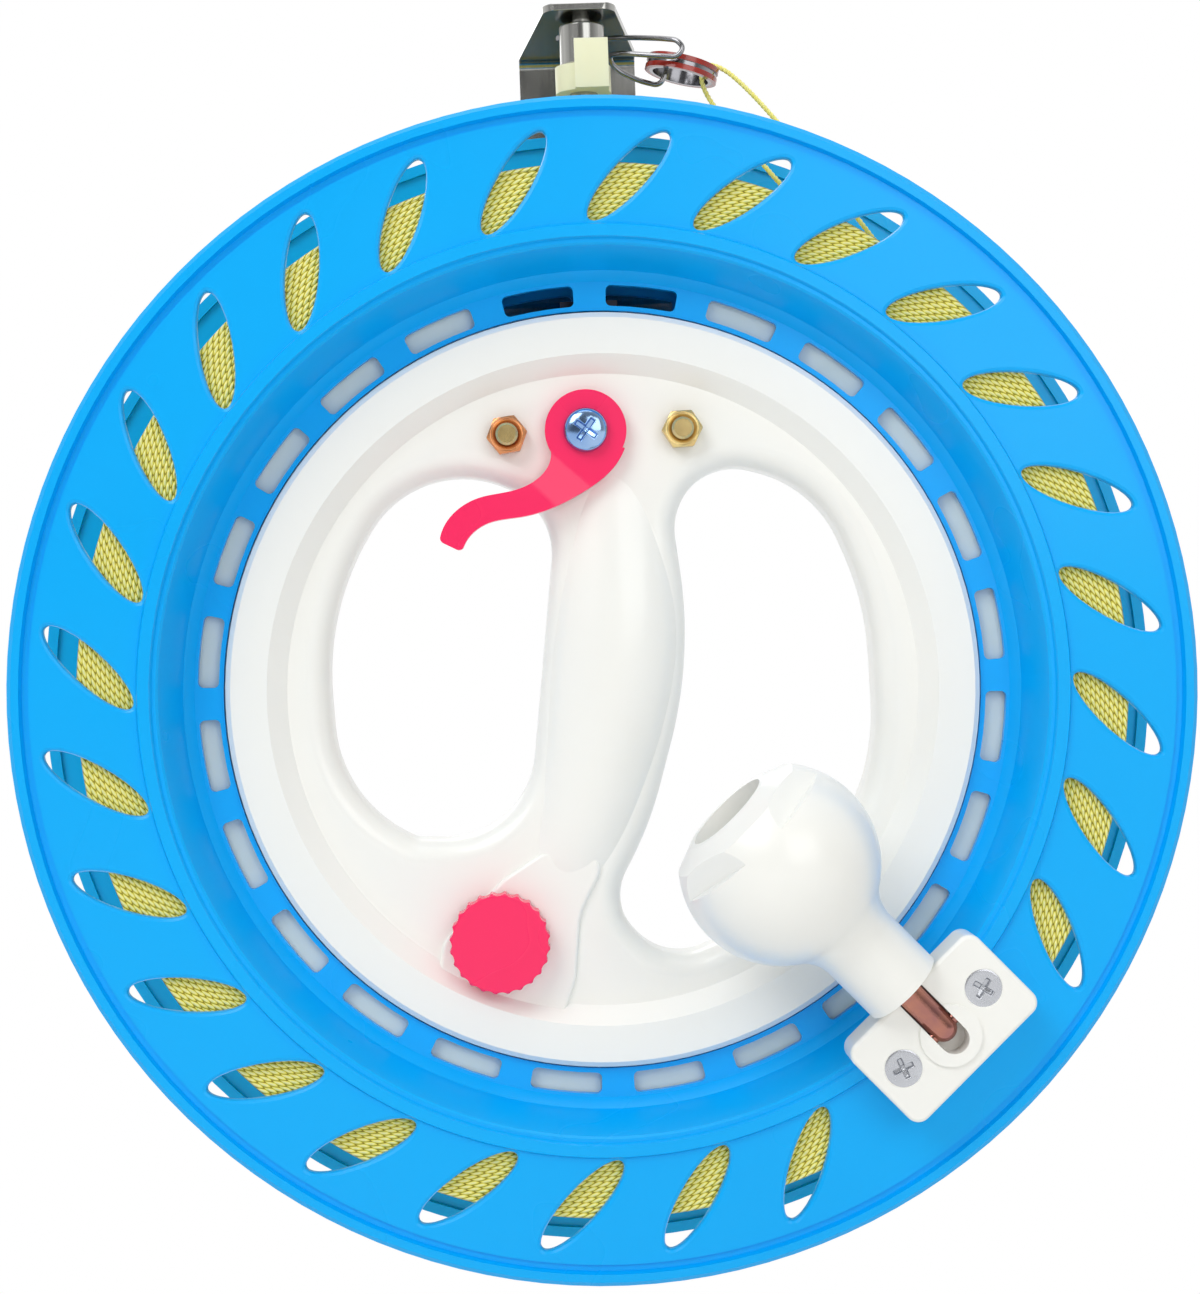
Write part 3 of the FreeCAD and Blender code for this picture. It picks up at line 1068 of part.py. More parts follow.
def bracket_plan():
    """Everything the bent sheet may fill: wide at the foot, narrow above, tapered at the nose."""
    half, foot = -BRACKET_W / 2, -BRACKET_FOOT_W / 2
    top = BRACKET_FOLD_Z + BRACKET_ROOM
    back = BRACKET_BACK_DEPTH + BRACKET_ROOM
    face = [(foot, BRACKET_FOOT_LOW, BRACKET_FOOT_CORNER), (foot, BRACKET_WIDE_TO, BRACKET_SIDE_R),
            (half, BRACKET_WIDE_TO + BRACKET_SHOULDER, BRACKET_SIDE_R), (half, top, BURR)]
    front_view = prism(rounded_wire(both_sides(face), -back), 2 * back)
    low = BRACKET_FOLD_Z - BRACKET_ROOM / 2
    plan = [(half, -back, BURR), (half, BRACKET_TAPER - BRACKET_BACK_DEPTH, BRACKET_SIDE_R),
            (-BRACKET_NOSE_W / 2, BRACKET_FRONT_DEPTH, BRACKET_NOSE_R)]
    shelf = prism(rounded_wire(both_sides(plan), 0.0), low - top)
    shelf.rotate(ORIGIN, V(1, 0, 0), 90)
    shelf.translate(V(0, 0, low))
    lower = Part.makeBox(BRACKET_FOOT_W, back, low, V(foot, 0, 0))
    return front_view.common(shelf.fuse(lower))


def bracket_bolts():
    """Two hexagon bolts from the rear through the bracket and both shells."""
    seat = -HUB_DISH_DEPTH - SHEET_T - WASHER_T
    bolts = []
    for side in (-1, 1):
        shank = rod(BOLT_R, side * BOLT_X, BOLT_Z, seat, BOLT_END_DEPTH)
        tip = edges_where(shank, lambda p: abs(p.y + BOLT_END_DEPTH) < 1e-6)
        shank = shank.makeChamfer(SHARP, tip)
        bolts.append(shank.fuse(hexagon(NUT_ACROSS_CORNERS, side * BOLT_X, BOLT_Z, seat - BOLT_HEAD_T, seat)))
    return Part.makeCompound(bolts)


def bracket_nuts():
    """The two nuts on the front of the hub."""
    nuts = []
    for side in (-1, 1):
        nut = hexagon(NUT_ACROSS_CORNERS, side * BOLT_X, BOLT_Z, HUB_DISH_DEPTH, HUB_DISH_DEPTH + NUT_T)
        nuts.append(nut.cut(rod(BOLT_R, side * BOLT_X, BOLT_Z, 0, BOLT_END_DEPTH + 1)))
    return Part.makeCompound(nuts)


def bracket_washers():
    """Flat washers between the bolt heads and the bracket."""
    seat = -HUB_DISH_DEPTH - SHEET_T
    washers = []
    for side in (-1, 1):
        disc = rod(WASHER_R, side * BOLT_X, BOLT_Z, seat - WASHER_T, seat)
        washers.append(disc.cut(rod(BOLT_R, side * BOLT_X, BOLT_Z, seat - 1, seat + 1)))
    return Part.makeCompound(washers)


def shelf_under_z():
    """Height of the shelf's underside over the guide's axle."""
    run = BRACKET_BACK_DEPTH + GUIDE_DEPTH
    return BRACKET_FOLD_Z + run * math.tan(math.radians(BRACKET_SLOPE))


def upright(radius, low, high):
    """A round bar on the guide's upright axis."""
    return Part.makeCylinder(radius, high - low, V(GUIDE_X, -GUIDE_DEPTH, low), UP)


def guide_axle():
    """The headed pin that hangs from the shelf and carries the roller and the collar."""
    low = COLLAR_LOW_Z - GUIDE_AXLE_HEAD_T
    top = shelf_under_z() + SHEET_T + GUIDE_AXLE_RIVET
    return upright(GUIDE_AXLE_R, low, top).fuse(upright(GUIDE_AXLE_HEAD_R, low, COLLAR_LOW_Z))


def guide_roller():
    """The steel sleeve that turns as the line runs over it."""
    sleeve = upright(ROLLER_R, COLLAR_HIGH_Z + SIDE_GAP, ROLLER_TOP_Z)
    sleeve = sleeve.makeFillet(SHARP, [e for e in sleeve.Edges if len(e.Vertexes) == 1])
    return sleeve.cut(upright(GUIDE_AXLE_R + RUN, COLLAR_LOW_Z, ROLLER_TOP_Z + 1))


def guide_collar():
    """The nylon collar with the upright tab in front of the roller."""
    collar = upright(COLLAR_R, COLLAR_LOW_Z, COLLAR_HIGH_Z)
    front = GUIDE_DEPTH + ROLLER_R + 2 * LOOSE
    side = GUIDE_X + TAB_SIDE - TAB_W / 2
    tab = Part.makeBox(TAB_W, TAB_T, TAB_TOP_Z - COLLAR_LOW_Z, V(side, -front - TAB_T, COLLAR_LOW_Z))
    foot = Part.makeBox(TAB_W, front - GUIDE_DEPTH, COLLAR_HIGH_Z - COLLAR_LOW_Z,
                        V(side, -front, COLLAR_LOW_Z))
    piece = collar.fuse([tab, foot]).removeSplitter()
    return piece.cut(upright(GUIDE_AXLE_R, COLLAR_LOW_Z - 1, COLLAR_HIGH_Z + 1))


# ==== snap clip, ring and line ==============================================================
def snap_clip():
    """Bent spring wire: a crook round the roller, a long loop, and a hook inside the ring."""
    hold = ROLLER_R + LOOSE + SNAP_WIRE_R
    crook = []
    for angle in SNAP_CROOK_ANGLES:
        x, y = polar(hold / math.cos(math.radians(SNAP_CROOK_STEP / 2)), angle)
        crook.append((GUIDE_X + x, y - GUIDE_DEPTH, SNAP_CROOK_Z))
    return tube(crook + [(x, y, SNAP_CROOK_Z + z) for x, y, z in SNAP_ROUTE], SNAP_WIRE_R)


def ring_placed(shape):
    """Move a shape made on the Z axis to the line ring's tilted place."""
    copy = shape.copy()
    copy.rotate(ORIGIN, AXLE, LINE_RING_ROLL)
    copy.translate(V(LINE_RING_X, LINE_RING_Y, LINE_RING_Z))
    return copy


def ring_section(profile):
    """Revolve a closed list of (radius, z) points about the ring's own axis."""
    points = [V(r, 0, z) for r, z in profile]
    return ring_placed(Part.Face(Part.makePolygon(points + points[:1])).revolve(ORIGIN, UP, 360))


def line_ring():
    """The metal ring that the line is tied to, with a seat for each coloured band."""
    half = LINE_RING_H / 2
    seat = LINE_RING_R - BAND_T
    return ring_section([(LINE_RING_BORE_R, -half), (seat, -half), (seat, BAND_H - half),
                         (LINE_RING_R, BAND_H - half), (LINE_RING_R, half - BAND_H),
                         (seat, half - BAND_H), (seat, half), (LINE_RING_BORE_R, half)])


def ring_bands():
    """The two bands on the ring."""
    half = LINE_RING_H / 2
    seat = LINE_RING_R - BAND_T
    bands = []
    for low, high in ((-half, BAND_H - half), (half - BAND_H, half)):
        bands.append(ring_section([(seat, low), (LINE_RING_R + BAND_T / 2, low),
                                   (LINE_RING_R + BAND_T / 2, high), (seat, high)]))
    return Part.makeCompound(bands)


def free_line():
    """The line between the winding and the ring, in one length looped through the ring."""
    return tube(LINE_ROUTE, LINE_D / 2)


PIECES = {
    "wheel_front_half": wheel_front, "wheel_rear_half": wheel_rear, "wheel_screws": wheel_screws,
    "wound_line": wound_line, "hub_front_shell": hub_front_shell, "hub_rear_shell": hub_rear_shell,
    "hub_screws": hub_screws, "bearing_ring": bearing_ring, "stop_lever": stop_lever,
    "lever_screw": lever_screw, "lever_cam": lever_cam, "stop_pawl": stop_pawl,
    "brake_knob": brake_knob, "brake_cam": brake_cam, "brake_shoe": brake_shoe,
    "crank_base": crank_base, "crank_base_screws": crank_base_screws, "crank_pin": crank_pin,
    "crank_shaft": crank_shaft, "crank_knob": crank_knob, "knob_washer": knob_washer,
    "knob_screw": knob_screw, "line_guide_bracket": line_guide_bracket,
    "bracket_bolts": bracket_bolts, "bracket_nuts": bracket_nuts, "bracket_washers": bracket_washers,
    "guide_axle": guide_axle, "guide_roller": guide_roller, "guide_collar": guide_collar,
    "snap_clip": snap_clip, "line_ring": line_ring, "ring_bands": ring_bands,
    "free_line": free_line,
}


def main():
    os.makedirs("parts", exist_ok=True)
    for name, make in PIECES.items():
        shape = make()
        print(name, len(shape.Solids), "solids", round(shape.Volume), "mm3", shape.isValid())
        save(name, shape)


main()
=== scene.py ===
# %% [markdown]
# # A kite line winder
# This is a wheel full of line that turns round a white hub. A hand holds the hub by the grip
# between its two openings, and the other hand turns the wheel by the crank. The exact shapes,
# joints and places come from the CAD model, which is loaded first and never moved. What is
# added here is finish: plastic, nylon, metal and line, and the few shapes that are too fine for
# the CAD model, such as the turns of the winding and the recesses of the screws.

# %% Load the frame
import math

import bmesh
import bpy
import numpy as np
from mathutils import Matrix, Vector


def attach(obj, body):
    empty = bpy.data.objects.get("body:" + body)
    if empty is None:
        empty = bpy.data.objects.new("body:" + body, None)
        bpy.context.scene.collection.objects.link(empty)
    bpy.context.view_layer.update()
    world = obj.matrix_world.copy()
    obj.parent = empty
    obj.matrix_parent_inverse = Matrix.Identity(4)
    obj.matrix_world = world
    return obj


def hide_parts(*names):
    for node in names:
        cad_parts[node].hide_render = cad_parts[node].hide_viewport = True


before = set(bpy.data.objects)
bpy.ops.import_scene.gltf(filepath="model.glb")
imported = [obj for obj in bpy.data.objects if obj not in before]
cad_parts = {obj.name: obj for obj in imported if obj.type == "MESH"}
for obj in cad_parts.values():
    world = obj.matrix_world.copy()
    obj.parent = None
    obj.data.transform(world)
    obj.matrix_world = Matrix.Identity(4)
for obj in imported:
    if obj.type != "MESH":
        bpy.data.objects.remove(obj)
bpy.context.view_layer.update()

MM = 0.001

# %% [markdown]
# ## The camera
# The winder is looked at squarely from the crank's side, from a little more than half a metre.
# A camera this near shows how deep the wheel is: the front flange looks larger than the rear
# one. The camera is turned slightly off the wheel's axis and rolled, so the grip leans a
# little. It is described by its eye point, three small angles and the focal length in pixels.

# %% Camera
EYE = Vector((-15.6, -575.0, 12.1)) * MM
YAW, PITCH, ROLL = math.radians(1.536), math.radians(0.203), math.radians(2.1)
FOCAL_PIXELS, IMAGE_HEIGHT = 2527.0, 1294.0
SENSOR = 36.0


def camera_axes():
    """Right, up and forward: roll about the view first, then turn right, then tip down."""
    right = Vector((math.cos(ROLL), 0, -math.sin(ROLL)))
    up = Vector((math.sin(ROLL), 0, math.cos(ROLL)))
    forward = Vector((0, 1, 0)) * math.cos(YAW) + right * math.sin(YAW)
    right = right * math.cos(YAW) - Vector((0, 1, 0)) * math.sin(YAW)
    forward, up = (forward * math.cos(PITCH) - up * math.sin(PITCH),
                   up * math.cos(PITCH) + forward * math.sin(PITCH))
    return right, up, forward


right, up, forward = camera_axes()
camera = bpy.data.objects.new("camera", bpy.data.cameras.new("camera"))
bpy.context.scene.collection.objects.link(camera)
turn = Matrix((right, up, -forward)).transposed().to_4x4()
camera.matrix_world = Matrix.Translation(EYE) @ turn
camera.data.sensor_width = SENSOR
camera.data.lens = FOCAL_PIXELS / IMAGE_HEIGHT * SENSOR
camera.data.clip_start = 0.01
bpy.context.scene.camera = camera
print("lens", round(camera.data.lens, 1), "mm")

# %% [markdown]
# ## Light, floor and background
# Glossy moulded plastic needs large soft lamps: their reflections are what shows the roundness
# of the rims and of the knob. One large lamp stands high on the left, a weaker one on the
# right, a broad one overhead, and one behind for views of the back. The background is white
# only for camera, glossy and transmitted rays, so it shows white without lighting the winder.
# Behind the viewer the room is darker: mirror-like metal needs something dark to show, or it
# looks like white paint.

# %% World
AMBIENT, AMBIENT_COLOUR = 0.45, (1.0, 0.99, 0.97, 1)
ROOM_DARK = 0.14                       # brightness of the room's darkest part
DARKEST_Y, BRIGHT_Y = -0.85, 0.15      # the Y of the directions between which the room fades

scene = bpy.context.scene
scene.view_settings.view_transform = "Standard"
world = bpy.data.worlds.new("studio")
scene.world = world
world.use_nodes = True
tree = world.node_tree
tree.nodes.clear()


def node(tree, kind, **settings):
    """Add a shader node and set its inputs or properties by name."""
    made = tree.nodes.new(kind)
    for key, value in settings.items():
        if key in made.inputs:
            made.inputs[key].default_value = value
        else:
            setattr(made, key, value)
    return made


def math_step(tree, operation, *values):
    """One step of arithmetic in a shader. Each value is an output to link, or a number."""
    step = node(tree, "ShaderNodeMath", operation=operation)
    for socket, value in zip(step.inputs, values):
        if isinstance(value, (int, float)):
            socket.default_value = value
        else:
            tree.links.new(value, socket)
    return step.outputs[0]


def white_for_lookers(tree, lit, lit_socket, room=None):
    """Show white to camera, glossy and transmission rays, and the lit result to others. A room
    output, from 0 to 1, dims what the glossy and transmission rays see."""
    path = node(tree, "ShaderNodeLightPath")
    looks = math_step(tree, "MAXIMUM", path.outputs["Is Camera Ray"],
                      path.outputs["Is Glossy Ray"])
    looks = math_step(tree, "MAXIMUM", looks, path.outputs["Is Transmission Ray"])
    white = node(tree, "ShaderNodeBackground", Color=(1, 1, 1, 1), Strength=1.0)
    if room is not None:
        strength = math_step(tree, "MAXIMUM", path.outputs["Is Camera Ray"], room)
        tree.links.new(strength, white.inputs["Strength"])
    mix = node(tree, "ShaderNodeMixShader")
    tree.links.new(looks, mix.inputs[0])
    tree.links.new(lit.outputs[lit_socket], mix.inputs[1])
    tree.links.new(white.outputs[0], mix.inputs[2])
    return mix


def room_behind_viewer(tree):
    """How bright the room is in each direction: 1 towards the backdrop at +Y, and dark where
    the direction points back past the viewer."""
    direction = node(tree, "ShaderNodeTexCoord")
    split = node(tree, "ShaderNodeSeparateXYZ")
    fade = node(tree, "ShaderNodeMapRange", **{"From Min": DARKEST_Y, "From Max": BRIGHT_Y,
                                               "To Min": ROOM_DARK, "To Max": 1.0})
    tree.links.new(direction.outputs["Generated"], split.inputs[0])
    tree.links.new(split.outputs["Y"], fade.inputs["Value"])
    return fade.outputs["Result"]


ambient = node(tree, "ShaderNodeBackground", Color=AMBIENT_COLOUR, Strength=AMBIENT)
out = node(tree, "ShaderNodeOutputWorld")
seen = white_for_lookers(tree, ambient, 0, room_behind_viewer(tree))
tree.links.new(seen.outputs[0], out.inputs["Surface"])
print("background white for the camera, ambient light", AMBIENT)

# %% Lamps
# Each lamp's place in metres, the side of its square in metres, and its watts. All point at
# the wheel's middle.
LAMPS = {"key": ((-0.75, -1.05, 1.05), 0.9, 10.3), "fill": ((0.50, -1.15, 0.42), 0.75, 3.7),
         "top": ((0.0, -0.15, 1.35), 0.9, 3.4), "rear": ((-0.5, 1.2, 0.8), 0.9, 5.0)}
for name, (place, size, watts) in LAMPS.items():
    lamp = bpy.data.objects.new(name, bpy.data.lights.new(name, "AREA"))
    lamp.data.size = size
    lamp.data.energy = watts
    lamp.location = place
    lamp.rotation_euler = (-Vector(place)).to_track_quat("-Z", "Y").to_euler()
    scene.collection.objects.link(lamp)
print("lamps:", ", ".join(LAMPS))

# %% [markdown]
# ## Ways to make a mesh
# Every new piece below is a grid of points worked out by a formula, so two helpers are enough:
# one turns a grid into quads, and one welds points that fall together and turns faces outward.

# %% Mesh helpers
def grid_mesh(name, points, wrap_rows=False, wrap_columns=False, uv=None):
    """Quads between neighbouring grid points. Face (i, j) joins point (i, j) with the next
    row, the next row and column, and the next column. uv holds a pair for each grid point."""
    rows, columns = points.shape[:2]
    i, j = np.meshgrid(np.arange(rows - (not wrap_rows)), np.arange(columns - (not wrap_columns)),
                       indexing="ij")
    i_next, j_next = (i + 1) % rows, (j + 1) % columns
    quads = np.stack([i * columns + j, i_next * columns + j,
                      i_next * columns + j_next, i * columns + j_next], axis=-1).reshape(-1, 4)
    mesh = bpy.data.meshes.new(name)
    mesh.from_pydata(points.reshape(-1, 3).tolist(), [], quads.tolist())
    if uv is not None:
        corners = np.empty(len(mesh.loops), dtype=np.int32)
        mesh.loops.foreach_get("vertex_index", corners)
        layer = mesh.uv_layers.new(name="UVMap")
        layer.data.foreach_set("uv", uv.reshape(-1, 2)[corners].astype(np.float32).ravel())
    mesh.shade_smooth()
    return mesh


def add_piece(name, meshes, body, weld=1e-6):
    """Join meshes into one object, weld doubles, face it outwards, and let it ride a body."""
    joined = bmesh.new()
    for mesh in meshes:
        joined.from_mesh(mesh)
        bpy.data.meshes.remove(mesh)
    bmesh.ops.remove_doubles(joined, verts=joined.verts, dist=weld)
    bmesh.ops.recalc_face_normals(joined, faces=joined.faces)
    mesh = bpy.data.meshes.new(name)
    joined.to_mesh(mesh)
    joined.free()
    piece = bpy.data.objects.new(name, mesh)
    scene.collection.objects.link(piece)
    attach(piece, body)
    print(name, len(mesh.polygons), "faces")
    return piece


# %% [markdown]
# ## Ways to make a finish
# A material here starts from one recipe: a base colour that wanders a little, a roughness that
# wanders a little, and a fine bump. Real mouldings are never perfectly even, and these three
# small variations are what makes plastic look like plastic. Numbers that are the same all over
# stay on the shader's own sockets.

# %% Finish helpers
def linear(red, green, blue):
    """A colour given as 0 to 255 display values, changed to Blender's linear values."""
    values = []
    for channel in (red, green, blue):
        c = channel / 255
        values.append(c / 12.92 if c <= 0.04045 else ((c + 0.055) / 1.055) ** 2.4)
    return (*values, 1.0)


def finish(name, colour, roughness, **sockets):
    """A new material whose Principled shader has this colour, roughness and other sockets."""
    material = bpy.data.materials.new(name)
    material.use_nodes = True
    shader = material.node_tree.nodes["Principled BSDF"]
    shader.inputs["Base Color"].default_value = colour
    shader.inputs["Roughness"].default_value = roughness
    for key, value in sockets.items():
        shader.inputs[key.replace("_", " ")].default_value = value
    return material, material.node_tree, shader


def object_noise(tree, scale, detail=3.0, stretch=(1, 1, 1)):
    """Noise over the object's own coordinates. The scale is patches per metre, detail is the
    octaves added, and stretch holds factors along X, Y and Z."""
    place = node(tree, "ShaderNodeTexCoord")
    mapping = node(tree, "ShaderNodeMapping", Scale=stretch)
    noise = node(tree, "ShaderNodeTexNoise", Scale=scale, Detail=detail)
    tree.links.new(place.outputs["Object"], mapping.inputs["Vector"])
    tree.links.new(mapping.outputs[0], noise.inputs["Vector"])
    return noise


def wander_colour(tree, shader, noise, low, high):
    """Blend between two colours by the noise, through a ramp."""
    ramp = node(tree, "ShaderNodeValToRGB")
    ramp.color_ramp.elements[0].color, ramp.color_ramp.elements[1].color = low, high
    tree.links.new(noise.outputs["Fac"], ramp.inputs["Fac"])
    tree.links.new(ramp.outputs["Color"], shader.inputs["Base Color"])


def wander_roughness(tree, shader, noise, low, high):
    """Move the roughness between two values with the noise."""
    reach = node(tree, "ShaderNodeMapRange", **{"To Min": low, "To Max": high})
    tree.links.new(noise.outputs["Fac"], reach.inputs["Value"])
    tree.links.new(reach.outputs["Result"], shader.inputs["Roughness"])


def add_bump(tree, shader, height, distance, strength=1.0):
    """Bump the surface by a height output; distance is in metres."""
    bump = node(tree, "ShaderNodeBump", Strength=strength, Distance=distance)
    tree.links.new(height, bump.inputs["Height"])
    tree.links.new(bump.outputs["Normal"], shader.inputs["Normal"])


def dress(names, material):
    """Give CAD nodes this material, in every slot they have."""
    for name in names:
        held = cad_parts[name]
        if not held.material_slots:
            held.data.materials.append(material)
        for place in held.material_slots:
            place.material = material


# %% [markdown]
# ## Moulded plastics
# The wheel is glossy blue plastic: the mould was polished, so highlights are clear, and only
# long soft waves in the skin break them up. The hub, the knob and the crank's block are white
# and the lever and brake knob pink, all from the same kind of mould. One function makes them.

# %% Moulded plastic
def moulded(name, colour, deep, roughness, wave, coat=0.25, specular=0.5):
    """Polished plastic: long waves of a height in metres bump it, a little of a deeper colour
    wanders in it, and its roughness wanders from 0.05 under to 0.07 over its value."""
    material, tree, shader = finish(name, colour, roughness, Coat_Weight=coat,
                                    Coat_Roughness=0.12, Specular_IOR_Level=specular)
    wander_colour(tree, shader, object_noise(tree, scale=9.0, detail=2.0), deep, colour)
    wander_roughness(tree, shader, object_noise(tree, scale=40.0, detail=1.0),
                     roughness - 0.05, roughness + 0.07)
    add_bump(tree, shader, object_noise(tree, scale=38.0, detail=0.0).outputs["Fac"], wave)
    return material


BLUE = moulded("blue plastic", linear(0, 178, 252), linear(0, 170, 246), 0.28, wave=0.00006,
               coat=0.06, specular=0.22)
WHITE = moulded("white plastic", linear(247, 247, 242), linear(244, 244, 238), 0.30,
                wave=0.00006)
PINK = moulded("pink plastic", linear(254, 42, 102), linear(251, 34, 95), 0.27, wave=0.00003,
               coat=0.12, specular=0.38)
dress(["wheel_front_half", "wheel_rear_half"], BLUE)
dress(["hub_front_shell", "hub_rear_shell", "crank_base", "crank_knob"], WHITE)
dress(["stop_lever", "brake_knob"], PINK)
print("plastics:", BLUE.name, WHITE.name, PINK.name)

# %% [markdown]
# ## Nylon
# The ring that the wheel turns on is unfilled nylon. It lets a little light in and scatters it,
# so it looks like frosted glass behind the windows. The collar of the line guide is the same
# stuff, creamier with age. Subsurface scattering gives both their soft look.

# %% Nylon
def nylon(name, colour, deep, depth, weight):
    """Waxy, slightly translucent plastic: scattering over a depth in metres, low contrast."""
    material, tree, shader = finish(name, colour, 0.38, Subsurface_Weight=weight,
                                    Subsurface_Scale=depth)
    shader.inputs["Subsurface Radius"].default_value = (1.0, 0.9, 0.8)
    wander_colour(tree, shader, object_noise(tree, scale=70.0), deep, colour)
    wander_roughness(tree, shader, object_noise(tree, scale=180.0, detail=4.0), 0.32, 0.46)
    skin = object_noise(tree, scale=900.0, detail=4.0)
    add_bump(tree, shader, skin.outputs["Fac"], distance=0.00002)
    return material


RING_NYLON = nylon("frosted nylon", linear(222, 232, 228), linear(204, 217, 213),
                   depth=0.003, weight=0.35)
CREAM_NYLON = nylon("cream nylon", linear(250, 249, 216), linear(242, 240, 200),
                    depth=0.002, weight=0.3)
dress(["bearing_ring"], RING_NYLON)
dress(["guide_collar", "lever_cam", "brake_cam", "brake_shoe"], CREAM_NYLON)
print("nylons:", RING_NYLON.name, CREAM_NYLON.name)

# %% [markdown]
# ## Metals
# The bracket is stainless sheet, brushed along its length. Its folds turn that length from Z to
# Y, so its scratches are a noise that changes quickly along X and hardly at all along the other
# two. Screws are zinc plated and take a blue or a yellow tint from the bath, the yellow with
# patches of rose. The spring wire and the ring are polished.

# %% Metals
def metal(name, colour, deep, rough_low, rough_high, scale, stretch=(1, 1, 1), scratch=0.000004,
          bare=1.0):
    """Metal whose tint wanders in patches, scale of them per metre, and whose roughness
    wanders between low and high in patches a quarter of that size. The same fine noise gives
    relief, scratch metres high. Plating is less than bare metal: part of the light scatters
    in it, which keeps it bright."""
    material, tree, shader = finish(name, colour, rough_low, Metallic=bare)
    wander_colour(tree, shader, object_noise(tree, scale, stretch=stretch), deep, colour)
    fine = object_noise(tree, scale * 4, detail=2.0, stretch=stretch)
    wander_roughness(tree, shader, fine, rough_low, rough_high)
    add_bump(tree, shader, fine.outputs["Fac"], scratch)
    return material


STAINLESS = metal("brushed stainless", linear(186, 186, 182), linear(150, 150, 146), 0.16, 0.26,
                  60.0, stretch=(34, 0.3, 0.3), scratch=0.000002)
BLUE_ZINC = metal("blue zinc", linear(186, 214, 244), linear(92, 140, 206), 0.12, 0.22, 120.0)
GREY_ZINC = metal("grey zinc", linear(216, 218, 222), linear(178, 181, 188), 0.2, 0.32, 150.0,
                  bare=0.75)
YELLOW_ZINC = metal("yellow zinc", linear(244, 226, 160), linear(206, 166, 104), 0.16, 0.28, 150.0,
                    bare=0.75)
COPPERY = metal("copper-toned zinc", linear(214, 146, 108), linear(116, 84, 112), 0.16, 0.28,
                130.0)
SPRING = metal("polished wire", linear(176, 176, 178), linear(120, 120, 124), 0.12, 0.2, 200.0)
RING_METAL = metal("ring metal", linear(168, 168, 172), linear(96, 96, 102), 0.12, 0.22, 150.0)
DARK_STEEL = metal("oiled steel", linear(70, 74, 84), linear(40, 42, 50), 0.3, 0.45, 120.0)
dress(["line_guide_bracket", "guide_axle", "guide_roller"], STAINLESS)
dress(["wheel_screws", "hub_screws", "knob_washer", "knob_screw", "bracket_washers"], GREY_ZINC)
dress(["bracket_bolts"], YELLOW_ZINC)
dress(["crank_shaft", "crank_pin"], COPPERY)
dress(["stop_pawl"], DARK_STEEL)
dress(["snap_clip"], SPRING)
dress(["line_ring"], RING_METAL)
print("metals:", STAINLESS.name, GREY_ZINC.name, YELLOW_ZINC.name, COPPERY.name)

# %% Red bands
band, tree, shader = finish("red enamel", linear(176, 40, 26), 0.25, Coat_Weight=0.4)
wander_colour(tree, shader, object_noise(tree, scale=220.0, detail=4.0),
              linear(120, 22, 16), linear(196, 52, 34))
add_bump(tree, shader, object_noise(tree, scale=500.0).outputs["Fac"], distance=0.00003)
dress(["ring_bands"], band)
print("bands:", band.name)

# %% [markdown]
# ## Twisted line
# The line is three plies twisted together. On the free stretch the plies are real geometry. On
# the winding, with its hundreds of turns, each turn is a ridge in the mesh, and the twist is a
# pattern across the ridge: a bump, with painted shade low between the plies and the turns and a
# painted highlight on the plies' crests. That pattern reads a UV map whose first number counts
# twists along the turn and whose second counts turns, so the slanted plies follow the line round
# the wheel.
# Each turn starts its twists at a place of its own: otherwise the plies of neighbouring turns
# would join into long slanted stripes.

# %% Line finish
# The palest yellow is the free line's own lighter tone and, on the winding, a painted highlight on
# the plies' crests. The darkest yellow is painted shade, low between the plies and between the
# turns.
LINE_PALE_AND_HIGHLIGHT, LINE_MID = linear(254, 250, 176), linear(242, 230, 76)
LINE_PAINTED_SHADE = linear(140, 122, 12)
PLY_SLANT = 1.0                        # how far a ply runs on, in twists, as it crosses its turn
TURN_START = 0.618                     # each turn's twists start this far on from its neighbour's
PAINTED_SHADE_AT, MID_AT, PAINTED_HIGHLIGHT_AT = 0.03, 0.11, 0.36     # heights that take the three colours
PLY_RELIEF = 0.0004                    # metres


